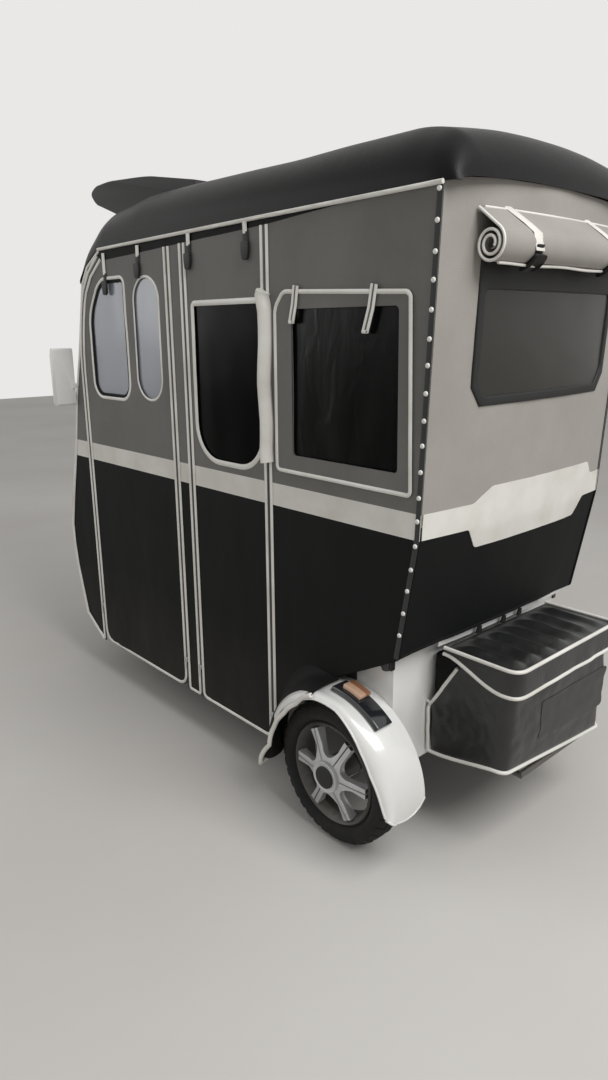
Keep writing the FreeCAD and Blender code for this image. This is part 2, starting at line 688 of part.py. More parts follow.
def make_side_walls():
    inner = f"{SIDE} - canvas"
    hem = "tyre_radius + fender_radius"
    quarter = side_panel("Quarter", [
        ("rear_hem_x", "rear_hem"), ("rear_belt_x", "belt_low"), ("rear_top_x", "roof_edge"),
        ("rear_zip - seam / 2", roof_edge_over("rear_zip")), ("rear_zip - seam / 2", "door_hem - 17"),
        ("rear_zip - 59", "door_hem - 17"), ("120", f"{hem} - 5"), ("50", f"{hem} + 5"),
        ("-65", f"{hem} + 65")], inner, "canvas", [QUARTER_WINDOW], [(QUARTER_WINDOW, "12")])
    arch = doc.addObject("Part::Cylinder", "ArchCut")
    arch.setExpression("Radius", bound("fender_radius + seat_gap"))
    arch.setExpression("Height", bound("fender_side / 2"))
    arch.Placement.Rotation = Rotation(Vector(1, 0, 0), -90)
    arch.setExpression("Placement.Base.y", bound("fender_side / 2"))
    arch.setExpression("Placement.Base.z", bound("tyre_radius"))
    # the hem flares out over the front of the mudguard
    flare = doc.addObject("PartDesign::Body", "ArchFlare")
    outline = sketch_on(flare, "YZ_Plane")
    low, lip = "fender_radius + seat_gap", "fender_side - 12"
    draw_polygon(outline, [
        (inner, f"{low} + 34"), (f"{inner} + 19", f"{low} + 11"), (lip, low), (lip, f"{low} + 5"),
        (f"{inner} + 23", f"{low} + 17"), (SIDE, f"{low} + 42"), (inner, f"{low} + 42")])
    revolve(flare, outline, "Y_Axis", 90, True)
    flare.Placement.Rotation = Rotation(Vector(0, 1, 0), 56)
    flare.setExpression("Placement.Base.z", bound("tyre_radius"))
    wall = fuse("QuarterWall", [cut("QuarterCut", quarter, arch), flare])
    finish(wall, "quarter_panel_left")
    doc.recompute()
    mirrored(wall, "quarter_panel_right")

    door = side_panel("RearDoor", [
        ("rear_zip + seam / 2", "door_hem"), ("rear_zip + seam / 2", roof_edge_over("rear_zip")),
        ("pillar_rear - seam / 2", roof_edge_over("pillar_rear")), ("pillar_rear - seam / 2", "door_hem")],
        inner, "canvas", [REAR_DOOR_WINDOW],
        [([REAR_DOOR_WINDOW[0], REAR_DOOR_WINDOW[3]], "110"),
         ([REAR_DOOR_WINDOW[1], REAR_DOOR_WINDOW[2]], "12"),
         ([("rear_zip + seam / 2", "door_hem"), ("pillar_rear - seam / 2", "door_hem")], "30")])
    finish(door, "rear_door_left")
    doc.recompute()
    mirrored(door, "rear_door_right")

    strip = side_panel("Pillar", [
        ("pillar_rear + seam / 2", "door_hem"), ("pillar_rear + seam / 2", roof_edge_over("pillar_rear")),
        ("pillar_front - seam / 2", roof_edge_over("pillar_front")), ("pillar_front - seam / 2", "door_hem")],
        inner, "canvas")
    pair("pillar_strips", strip)

    lead, front_edge = "front_zip - seam / 2", "roof_edge - roof_fall"
    door = side_panel("FrontDoor", [
        ("pillar_front + seam / 2", "door_hem"), ("pillar_front + seam / 2", roof_edge_over("pillar_front")),
        ("roof_edge_end - 10", front_edge), ("front_zip - 58", "1525"),
        ("front_zip - 26", "1407"), (lead, "1248"), (lead, "door_hem")],
        inner, "canvas", [OVAL_WINDOW, ROUND_WINDOW],
        [(OVAL_WINDOW, "front_door * 0.125"), ([ROUND_WINDOW[0], ROUND_WINDOW[4]], "front_door * 0.1"),
         ([ROUND_WINDOW[1]], "front_door * 0.04"), ([ROUND_WINDOW[2], ROUND_WINDOW[3]], "front_door * 0.065"),
         ([("pillar_front + seam / 2", "door_hem"), (lead, "door_hem")], "60")])
    finish(door, "front_door_left")
    doc.recompute()
    mirrored(door, "front_door_right")

    lead = "front_zip + seam / 2"
    corner = side_panel("FrontCorner", [
        (lead, "door_hem - 7"), (lead, "1248"), ("front_zip - 25.4", "1407"), ("front_zip - 57.4", "1525"),
        ("roof_edge_end - 9.4", front_edge), ("roof_edge_end", front_edge),
        ("roof_edge_end + 95", f"{front_edge} - 48"), ("screen_top_x", "screen_top"), ("cowl_x", "cowl"),
        ("cowl_x + 64", "cowl - 217"), ("cowl_x + 102", "cowl - 361"), ("cowl_x + 101", "cowl - 449"),
        ("cowl_x + 89", "cowl - 538"), ("cowl_x + 33", "cowl - 746"), ("cowl_x - 32", "door_hem + 32")],
        inner, "canvas")
    finish(corner, "front_corner_left")
    doc.recompute()
    mirrored(corner, "front_corner_right")


def make_window_films():
    # clear film sewn behind the openings of the doors
    inner = f"{SIDE} - canvas - seat_gap - 1.5"
    films = doc.addObject("Part::Compound", "Films")
    films.Links = [
        side_panel("RearDoorFilm", [
            ("rear_zip + 10", "belt_high + 16"), ("rear_zip + 10", "belt_high + 502"),
            ("pillar_rear - 30", "belt_high + 502"), ("pillar_rear - 30", "belt_high + 16")], inner, "1.5"),
        side_panel("FrontDoorFilm", [
            ("pillar_front + front_door * 0.066", "belt_high + 160"),
            ("pillar_front + front_door * 0.066", "belt_high + 607"),
            ("front_zip - front_door * 0.275", "belt_high + 607"),
            ("front_zip - front_door * 0.095", "belt_high + 482"),
            ("front_zip - front_door * 0.095", "belt_high + 160")], inner, "1.5"),
        side_panel("QuarterFilm", [
            ("rear_belt_x + 47", "belt_high + 72"), ("rear_belt_x + 55", "belt_high + 484"),
            ("rear_zip - 89", "belt_high + 484"), ("rear_zip - 89", "belt_high + 72")], inner, "1.5")]
    pair("side_window_films", films)
    outer = f"{SIDE} + seat_gap"
    flap = side_panel("QuarterFlap", [
        ("rear_belt_x + 24", "belt_high + 37"), ("rear_belt_x + 41", "belt_high + 498"),
        ("rear_zip - 75", "belt_high + 514"), ("rear_zip - 39", "belt_high + 472"),
        ("rear_zip - 39", "belt_high + 39")], outer, "4", [QUARTER_WINDOW],
                      [(QUARTER_WINDOW, "12")])
    pair("quarter_window_flaps", flap)


def rear_wall(half, wall):
    rows = (("rear_hem", "rear_hem_x"), ("belt_low", "rear_belt_x"), ("roof_edge", "rear_top_x"))
    sections = [(size(height), size(corner), size("rear_bulge")) for height, corner in rows]
    return bowed_wall(sections, half, wall, -1)


# rear window outline, side distance and height; it sits a little off the middle
REAR_WINDOW = [(-340, 1260), (-306, 1210), (252, 1206), (286, 1252), (286, 1582), (-340, 1582)]


def grown(corners, by):
    # moves each corner away from the middle of the outline
    across = sum(y for y, z in corners) / len(corners)
    up = sum(z for y, z in corners) / len(corners)
    return [(y + by * math.copysign(1, y - across), z + by * math.copysign(1, z - up)) for y, z in corners]


def make_rear_wall():
    half = size(f"{SIDE} - canvas - seam")
    wall = rear_wall(half, size("canvas"))
    hole = prism_x(REAR_WINDOW, -500, 0)
    shaped("rear_panel", wall.cut(hole))
    inner = prism_x(grown(REAR_WINDOW, -22), -500, 0)
    frame = wall.common(prism_x(grown(REAR_WINDOW, -0.5), -500, 0))
    shaped("rear_window_frame", frame.cut(inner))
    thin = rear_wall(half, 3)
    pane = thin.common(prism_x(grown(REAR_WINDOW, -22.3), -500, 0))
    pane.translate(Vector(2, 0, 0))
    shaped("rear_window_pane", pane)

    # rear window flap, rolled up and strapped above the window
    body = doc.addObject("PartDesign::Body", "FlapRoll")
    start, length = "345", "657"
    outline = sketch_on(body, "XZ_Plane", start)
    draw_circle(outline, "0", "0", "roll_radius")
    pad(body, outline, length, True)
    hem = sketch_on(body, "XZ_Plane", start)
    draw_polygon(hem, [("roll_radius - 7", "0"), ("roll_radius - 0.5", "0"), ("roll_radius - 3", "75"),
                       ("roll_radius - 9", "75")])
    pad(body, hem, length, True)
    wall = "rear_belt_x + (rear_top_x - rear_belt_x) * (roll_height - belt_low) / (roof_edge - belt_low)"
    finish(body, "rear_flap_roll", f"{wall} - rear_bulge - seat_gap - roll_radius", "0", "roll_height")


def roof_section(along, half, side, edge, shoulder, crown):
    # one cross-section of the roof cover: shoulder arcs either side of the crown
    bend_y, bend_z = half * 0.72 + side * 0.28, edge * 0.42 + shoulder * 0.58
    spots = [(half, edge), (bend_y, bend_z), (side, shoulder), (0, crown), (-side, shoulder),
             (-bend_y, bend_z), (-half, edge)]
    spots = [Vector(along, across, up) for across, up in spots]
    arcs = [Part.Arc(*spots[first:first + 3]).toShape() for first in (0, 2, 4)]
    return Part.Wire(arcs + [Part.LineSegment(spots[6], spots[0]).toShape()])


def make_roof():
    half, side = size(f"{SIDE} + 3"), size("shoulder_side")
    shoulder, crown, wall = size("roof_shoulder"), size("roof_crown"), size("roof_wall")
    edge, edge_front, top = size("roof_edge"), size("roof_edge - roof_fall"), size("screen_top")
    back, end, nose = size("rear_top_x - 32"), size("roof_edge_end"), size("screen_top_x + 22")

    def edge_over(along):
        return size(f"{roof_edge_over(along)} + seam")

    # along, how much narrower, edge, shoulder and crown heights
    rows = [
        (back, 24, edge_over(back), edge + 16, edge + 26),
        (back + 12, 8, edge_over(back + 12), edge + 64, edge + 84),
        (back + 55, 0, edge_over(back + 55), shoulder - 18, crown - 22),
        (back + 140, 0, edge_over(back + 140), shoulder, crown),
        (end - 220, 0, edge_over(end - 220), shoulder, crown - 4),
        (end, 0, edge_over(end), shoulder - 30, crown - 34),
        (end + 95, 0, edge_front - 46, shoulder - 104, crown - 112),
        (nose, 0, top, top + 26, top + 40)]
    outer = [roof_section(along, half - slim, side - slim, *heights) for along, slim, *heights in rows]
    inner = [roof_section(along, half - slim - wall, side - slim - 0.7 * wall, low - 0.5, mid - wall,
                          high - wall) for along, slim, low, mid, high in rows[1:-1]]
    outside = Part.makeLoft(outer, True, True)
    shaped("roof_cover", outside.cut(Part.makeLoft(inner, True, True)))

    # side outline of the visor: ahead of the roof edge's front end, above the crown
    tip = [("roof_edge_end + 301", "roof_crown + 92"), ("roof_edge_end + 346", "roof_crown + 70"),
           ("roof_edge_end + 304", "roof_crown + 29")]
    visor = side_panel("Visor", [
        ("roof_edge_end - 399", "roof_crown - 40"), ("roof_edge_end - 399", "roof_crown + 4"),
        ("roof_edge_end - 99", "roof_crown + 62"), ("roof_edge_end + 161", "roof_crown + 88"), *tip,
        ("roof_edge_end + 187", "roof_crown - 3"), ("roof_edge_end + 112", "roof_crown - 23"),
        ("roof_edge_end - 4", "roof_crown - 60")], "-visor_side", "2 * visor_side", rounds=[(tip, "16")])
    shaped("roof_visor", visor.Shape.cut(outside))


def make_front():
    half = size(f"{SIDE} - canvas - seam")
    cowl_x, cowl = size("cowl_x"), size("cowl")
    top = [(size("screen_top"), size("screen_top_x"), size("screen_bulge - 14")),
           (cowl, cowl_x, size("screen_bulge + 14"))]
    low_z, high_z = size("cowl + screen_margin"), size("screen_top - screen_margin / 2")
    low_half, high_half = half - size("screen_margin") * 1.6, half - size("screen_margin") * 1.9
    outline = [(-low_half, low_z), (low_half, low_z), (high_half, high_z), (-high_half, high_z)]
    ahead = size("wheelbase")
    shaped("windscreen_surround", bowed_wall(top, half, 5, 1).cut(prism_x(outline, 0, ahead)))
    shaped("windscreen", bowed_wall(top, half, 4, 1).common(prism_x(grown(outline, -0.5), 0, ahead)))

    # painted apron below the cowl, open in the middle for the steered wheel
    # height below the cowl, corner ahead of the cowl's corner, bulge
    rows = ((0.6, 0, size("screen_bulge + 14")), (217, 64, 84), (361, 102, 90), (538, 89, 92), (746, 33, 70))
    apron = bowed_wall([(cowl - drop, cowl_x + lead, bulge) for drop, lead, bulge in rows], half, 5, 1)
    arch_half, arch_top = size("arch_side"), size("arch_top")
    arch = prism_x([(-arch_half, 0), (arch_half, 0), (arch_half, arch_top - 60), (arch_half - 60, arch_top),
                    (60 - arch_half, arch_top), (-arch_half, arch_top - 60)], cowl_x - 100, cowl_x + 400)
    # round headlamp in the apron, always clear of the arch: bezel and domed lens
    lamp_x, lamp_r = cowl_x + 104, size("lamp_radius")
    lamp_z = max(cowl - size("lamp_drop"), arch_top + lamp_r + 28)
    forward = Vector(1, 0, 0)
    lamp_hole = Part.makeCylinder(lamp_r + 0.5, ahead, Vector(lamp_x - 100, 0, lamp_z), forward)
    shaped("front_apron", apron.cut(arch).cut(lamp_hole))
    bezel = Part.makeCylinder(lamp_r, 46, Vector(lamp_x + 14, 0, lamp_z), forward)
    seat_hole = Part.makeCylinder(lamp_r - 12, 30, Vector(lamp_x + 40, 0, lamp_z), forward)
    shaped("headlamp_bezel", bezel.cut(seat_hole))
    dome = Part.makeSphere(lamp_r * 1.6, Vector(lamp_x + 74 - lamp_r * 1.6, 0, lamp_z))
    shaped("headlamp_lens", dome.common(
        Part.makeCylinder(lamp_r - 12.3, 100, Vector(lamp_x + 40.3, 0, lamp_z), forward)))
    inner = box("LegshieldWall", ("legshield_x", "-floor_side", "floor_top"),
                ("legshield_x + 5", "floor_side", "bar_clamp - 154.7"))
    # dash between the leg shield and the cowl, slotted round the steering column
    dash = side_panel("Dash", [
        ("legshield_x", "bar_clamp - 154.7"), ("legshield_x + 6", "bar_clamp - 154.7"),
        ("cowl_x - 13", "cowl - 26"), ("cowl_x - 19", "cowl - 26")], "-floor_side", "2 * floor_side")
    slot = box("DashSlot", ("legshield_x - 25", "-70", "bar_clamp - 165"), ("cowl_x + 20", "70", "cowl + 30"))
    finish(fuse("DashAndLegshield", [inner, cut("DashCut", dash, slot)]), "inner_legshield")


def make_steering():
    lean = math.radians(size("rake"))
    axis = Vector(-math.sin(lean), 0, math.cos(lean))
    hub = Vector(size("wheelbase"), 0, size("tyre_radius"))

    def on_axis(height):
        return hub + axis * ((height - hub.z) / axis.z)

    leg_top = on_axis(size("head_low") - 45)
    side = Vector(0, size("fork_side"), 0)
    reach = (leg_top - hub).Length
    pieces = []
    for sign in (-1, 1):
        foot = hub + side * sign
        pieces.append(Part.makeCylinder(size("fork_tube"), reach + 20, foot - axis * 8, axis))
        pieces.append(Part.makeCylinder(22, reach * 0.45, foot - axis * 24, axis))
    crown = Part.makeBox(40, 2 * size("fork_side") + 44, 16, Vector(-20, -size("fork_side") - 22, 0))
    crown.Placement = Placement(leg_top + axis * 8, Rotation(Vector(0, 1, 0), -size("rake"))).multiply(
        crown.Placement)
    stem_top = on_axis(size("bar_clamp"))
    stem = Part.makeCylinder(size("stem_radius"), (stem_top - leg_top).Length - 8, leg_top + axis * 8, axis)
    axle = Part.makeCylinder(7, 2 * size("fork_side"), hub - side, Vector(0, 1, 0))
    clamp = Part.makeBox(44, 64, 32, Vector(-22, -32, -16))
    clamp.Placement = Placement(stem_top, Rotation(Vector(0, 1, 0), -size("rake"))).multiply(clamp.Placement)
    fork = pieces[0].multiFuse(pieces[1:] + [crown, stem, axle, clamp]).removeSplitter()
    # swept-back bar: grips behind the column, clear of the screen at full lock
    grip = (stem_top.x - 190, 290, stem_top.z + 74)
    bend = (stem_top.x - 34, 168, stem_top.z + 66)
    bar = bent_tube([
        (grip[0], -grip[1], grip[2]), (bend[0], -bend[1], bend[2]), (stem_top.x, -48, stem_top.z + 4),
        (stem_top.x, 48, stem_top.z + 4), bend, grip], 30, size("bar_radius"))
    shaped("front_fork", fork)
    shaped("handlebar", bar.cut(clamp))
    ends = []
    for sign in (-1, 1):
        start, stop = Vector(bend[0], sign * bend[1], bend[2]), Vector(grip[0], sign * grip[1], grip[2])
        way = (stop - start).normalize()
        sleeve = Part.makeCylinder(17, 118, stop - way * 112, way)
        ends.append(sleeve.cut(Part.makeCylinder(size("bar_radius"), 112, stop - way * 112, way)))
    shaped("hand_grips", Part.makeCompound(ends))


def make_front_fender():
    body = doc.addObject("PartDesign::Body", "FrontFender")
    outline = sketch_on(body, "YZ_Plane")
    top = "tyre_radius + 24"
    side = "fork_side - fork_tube - seat_gap"
    draw_polygon(outline, [
        (f"-({side})", f"{top} - 30"), ("-46", f"{top} - 8"), ("-24", top), ("24", top), ("46", f"{top} - 8"),
        (side, f"{top} - 30"), (f"{side} - 3", f"{top} - 31"), ("44", f"{top} - 11"), ("23", f"{top} - 3"),
        ("-23", f"{top} - 3"), ("-44", f"{top} - 11"), (f"-({side}) + 3", f"{top} - 31")])
    revolve(body, outline, "Y_Axis", 190, True)
    finish(body, "front_fender", along="wheelbase", height="tyre_radius", turn=Rotation(Vector(0, 1, 0), -25))


def make_mirrors():
    # tall heads on short stays outside the front corners
    inner = size(SIDE) + 7
    x, z = size("cowl_x - 49"), size("cowl + 136")
    outline = [(0, 0), (34, 8), (34, 190), (22, 215), (0, 215)]
    spots = [Vector(x + ahead, inner, z + up) for ahead, up in outline]
    head = Part.Face(Part.makePolygon(spots + spots[:1])).extrude(Vector(0, 77, 0))
    long_edges = [edge for edge in head.Edges if abs(edge.tangentAt(edge.FirstParameter).y) > 0.9]
    head = head.makeFillet(9, long_edges)
    arm = Part.makeCylinder(8, 8 - 0.3, Vector(x - 2, size(f"{SIDE} + seat_gap"), z + 75), Vector(0, 1, 0))
    stay = Part.makeBox(16, 10, 18, Vector(x - 10, inner, z + 66))
    left = head.multiFuse([arm, stay])
    shaped("mirrors", Part.makeCompound([left, mirror_y(left)]))


def make_canopy_frame():
    radius = size("frame_tube")
    inset = size(f"{SIDE} - canvas - seat_gap") - radius - 2
    top, floor = size("roof_edge") - 8, size("rail_high")
    under = size("roof_wall") + radius
    crown, shoulder = size("roof_crown") - under - 4, size("roof_shoulder") - under - 14
    rear_x, seat_x = size("rear_top_x") + 24, size("seat_beam - 10")
    pieces = []
    # hoops over the cabin: along and height at the foot, along at the top, how much lower
    for foot_x, foot_z, head_x, drop in ((-118, 534, rear_x, 26), (seat_x, floor, seat_x, 0)):
        half = [(foot_x, inset, foot_z), (head_x, inset, top), (head_x, 340, shoulder - drop)]
        other = [(x, -y, z) for x, y, z in reversed(half)]
        pieces.append(mitred_tube(half + [(head_x, 0, crown - drop)] + other, radius))
    # a rail down each side from the rear hoop over the doors to the floor
    header = (size("screen_top_x") - 26, size("screen_top") - 6)
    cowl = (size("cowl_x") - 30, size("cowl") - 6)
    foot, shell = size("legshield_x") - 27, size("shell_side + seat_gap")
    for sign in (-1, 1):
        y = sign * inset
        pieces.append(mitred_tube([
            (foot, y, floor), (foot, y, size("cowl") - 269), (cowl[0], y, cowl[1]), (header[0], y, header[1]),
            (size("roof_edge_end"), y, top - 30), (rear_x, y, top - 2)], radius))
        # bracket on the painted body
        pieces.append(Part.makeBox(36, inset - shell, 24, Vector(-136, min(sign * shell, y), 534)))
    pieces.append(straight_tube((header[0], -inset, header[1]), (header[0], inset, header[1]), radius))
    bow = cowl[0] + 48
    pieces.append(mitred_tube([(cowl[0], -inset, cowl[1]), (bow, -180, cowl[1]), (bow, 180, cowl[1]),
                               (cowl[0], inset, cowl[1])], radius))
    shaped("canopy_frame", pieces[0].multiFuse(pieces[1:]))


def hinge_rod(name, radius):
    # round bar along the lid's hinge line
    rod = doc.addObject("Part::Cylinder", name)
    rod.setExpression("Radius", bound(radius))
    rod.setExpression("Height", bound("2 * bag_side"))
    rod.Placement = Placement(Vector(0, 0, 0), Rotation(Vector(1, 0, 0), 90))
    rod.setExpression("Placement.Base.x", bound("lid_hinge_x"))
    rod.setExpression("Placement.Base.y", bound("bag_side"))
    rod.setExpression("Placement.Base.z", bound("bag_lid_top"))
    return rod


def make_bag():
    # soft trunk bag on its rack behind the painted body
    front, back, half = "bag_front_x", "-(rear_overhang) + 10", "bag_side - 9"
    lid_low = "bag_lid_top - 7"
    outside = side_panel("BagOutside", [
        (front, "bag_low"), (front, "bag_lid_top"), ("lid_hinge_x + 1", "bag_lid_top"),
        ("lid_hinge_x + 1", lid_low), (back, lid_low), (f"{back} + 30", "bag_low")],
        f"-({half})", f"2 * ({half})")
    wall = "bag_wall"
    inside = side_panel("BagInside", [
        (f"{front} - {wall}", f"bag_low + {wall}"), (f"{front} - {wall}", f"bag_lid_top - {wall}"),
        ("lid_hinge_x + 12", f"bag_lid_top - {wall}"), ("lid_hinge_x + 12", "bag_lid_top - 14"),
        ("lid_hinge_x - 6", "bag_lid_top - 14"), ("lid_hinge_x - 6", "bag_lid_top + 10"),
        (f"{back} + {wall}", "bag_lid_top + 10"), (f"{back} + {wall}", lid_low),
        (f"{back} + 30 + {wall}", f"bag_low + {wall}")], f"-({half} - {wall})", f"2 * ({half} - {wall})")
    channel = hinge_rod("HingeChannel", "hinge_cord + running_fit + 0.3")
    finish(cut("BagChannel", cut("Bag", outside, inside), channel), "bag_body")

    # quilted lid with a skirt round three sides
    lid_back = "-(rear_overhang)"
    top = side_panel("LidTop", [
        ("lid_hinge_x", f"{lid_low} + seat_gap"), ("lid_hinge_x", "bag_lid_top"), (lid_back, "bag_lid_top"),
        (lid_back, f"{lid_low} + seat_gap")], "-(bag_side)", "2 * bag_side")
    skirt_out = box("SkirtOutside", (lid_back, "-bag_side", "bag_skirt"),
                    ("lid_hinge_x - 3", "bag_side", "bag_lid_top - 3"))
    skirt_in = box("SkirtInside", (f"{lid_back} + 4", "-bag_side + 4", "bag_skirt - 5"),
                   ("lid_hinge_x + 5", "bag_side - 4", f"{lid_low} + seat_gap"))
    ridges = [box(f"Ridge{index}", (f"{lid_back} + 14", f"{middle} - bag_side / 10.5", "bag_lid_top - 3"),
                  ("lid_hinge_x - 12", f"{middle} + bag_side / 10.5", "bag_lid_top + 5"))
              for index, middle in enumerate(f"bag_side * {share} / 7" for share in range(-6, 7, 2))]
    cord = hinge_rod("HingeCord", "hinge_cord")
    finish(fuse("Lid", [top, cut("Skirt", skirt_out, skirt_in), cord] + ridges), "bag_lid")

    under = size("bag_low - seat_gap") - 9
    back_x = size("shell_back_x - seat_gap")
    rack = mitred_tube([(back_x - 2, 150, under), (-380, 150, under), (-380, -150, under),
                        (back_x - 2, -150, under)], 9)
    bars = [straight_tube((along, -150, under), (along, 150, under), 7) for along in (-200, -290)]
    plates = Part.makeBox(6, 340, 30, Vector(back_x - 6, -170, under - 9))
    shaped("bag_rack", rack.multiFuse(bars + [plates]))


make_chassis()
make_floor()
make_seats()
make_rear_axle()
make_wheels()
make_rear_body()
make_side_walls()
make_window_films()
make_rear_wall()
make_roof()
make_front()
make_steering()
make_front_fender()
make_mirrors()
make_canopy_frame()
make_bag()
doc.recompute()

for item in doc.Objects:
    if "Invalid" in item.State or "Error" in item.State:
        raise ValueError(f"{item.Label} did not compute: {item.State}")
for item in parts:
    if item.Shape.isNull() or not item.Shape.isValid():
        raise ValueError(f"{item.Label} has no valid shape")
os.makedirs("parts", exist_ok=True)
for item in parts:
    item.Shape.exportStep(f"parts/{item.Label}.step")
    reach = item.Shape.BoundBox
    print(f"{item.Label:24s} solids {len(item.Shape.Solids)} x {reach.XMin:8.1f} {reach.XMax:8.1f}"
          f" y {reach.YMin:7.1f} {reach.YMax:7.1f} z {reach.ZMin:7.1f} {reach.ZMax:7.1f}")
print(len(parts), "sub-parts")
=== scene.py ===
import json
import math

import bmesh
import bpy
from mathutils import Matrix, Vector, noise


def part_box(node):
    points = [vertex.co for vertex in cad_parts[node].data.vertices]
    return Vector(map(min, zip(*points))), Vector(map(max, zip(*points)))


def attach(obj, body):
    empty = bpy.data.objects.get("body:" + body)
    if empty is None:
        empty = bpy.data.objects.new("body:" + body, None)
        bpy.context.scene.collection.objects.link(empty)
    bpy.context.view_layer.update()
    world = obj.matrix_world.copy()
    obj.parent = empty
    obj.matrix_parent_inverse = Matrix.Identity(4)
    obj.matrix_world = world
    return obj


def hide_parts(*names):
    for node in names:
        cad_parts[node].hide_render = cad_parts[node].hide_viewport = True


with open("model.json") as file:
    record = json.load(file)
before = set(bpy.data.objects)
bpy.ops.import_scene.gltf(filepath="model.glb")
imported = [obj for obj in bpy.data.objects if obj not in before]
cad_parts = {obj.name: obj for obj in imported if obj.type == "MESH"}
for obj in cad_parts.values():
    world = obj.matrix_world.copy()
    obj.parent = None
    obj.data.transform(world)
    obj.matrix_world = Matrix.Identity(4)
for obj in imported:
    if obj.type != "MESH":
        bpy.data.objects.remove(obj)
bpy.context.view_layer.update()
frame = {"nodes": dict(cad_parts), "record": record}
scene = bpy.context.scene
scene.view_settings.view_transform = "Standard"
print("frame loaded")

# places are in mm: ahead of the rear axle, to the left of the middle, up from the ground
rearAxle = -0.7915
axleUp = 205


def at(along, side, up):
    return Vector((along / 1000 + rearAxle, side / 1000, up / 1000))


# camera: the photograph's place and direction, found from the cabin's straight edges
view = {"place": (-2.0866, 1.7505, 1.3859), "yaw": -42.11, "pitch": -15.78, "roll": -0.39, "lens": 24.955}


def makeCamera():
    yaw, pitch, roll = (math.radians(view[key]) for key in ("yaw", "pitch", "roll"))
    ahead = Vector((math.cos(yaw) * math.cos(pitch), math.sin(yaw) * math.cos(pitch), math.sin(pitch)))
    level = ahead.cross(Vector((0, 0, 1))).normalized()
    upright = level.cross(ahead)
    right = math.cos(roll) * level + math.sin(roll) * upright
    up = math.cos(roll) * upright - math.sin(roll) * level
    lens = bpy.data.cameras.new("photoCamera")
    lens.sensor_width = 36
    lens.lens = view["lens"]
    camera = bpy.data.objects.new("photoCamera", lens)
    camera.matrix_world = Matrix.Translation(view["place"]) @ Matrix((right, up, -ahead)).transposed().to_4x4()
    scene.collection.objects.link(camera)
    scene.camera = camera


def hexColour(code):
    parts = [int(code[i:i + 2], 16) / 255 for i in (0, 2, 4)]
    return tuple(c / 12.92 if c <= 0.04045 else ((c + 0.055) / 1.055) ** 2.4 for c in parts) + (1,)


def addNode(material, kind, settings=None, links=None):
    # adds one node; settings name a socket or an attribute, links name a socket
    node = material.node_tree.nodes.new("ShaderNode" + kind)
    for name, value in (settings or {}).items():
        if isinstance(name, int) or name in node.inputs:
            node.inputs[name].default_value = value
        else:
            setattr(node, name, value)
    for name, source in (links or {}).items():
        material.node_tree.links.new(source, node.inputs[name])
    return node


def startMaterial(name, settings):
    # a shader joined to its output, and the Object coordinates that its patterns read
    material = bpy.data.materials.new(name)
    material.use_nodes = True
    material.node_tree.nodes.clear()
    shader = addNode(material, "BsdfPrincipled", settings)
    addNode(material, "OutputMaterial", links={"Surface": shader.outputs[0]})
    return material, shader, addNode(material, "TexCoord").outputs["Object"]


def joinUp(material, shader, colour, bump):
    material.node_tree.links.new(colour.outputs[2], shader.inputs["Base Color"])
    material.node_tree.links.new(bump.outputs[0], shader.inputs["Normal"])
    return material


def waveScale(mm):
    # wave texture scale for one band every so many mm
    return 0.314 / (mm / 1000)


def grainScale(mm):
    # noise texture scale for grains of about this size
    return 1 / (mm / 1000)


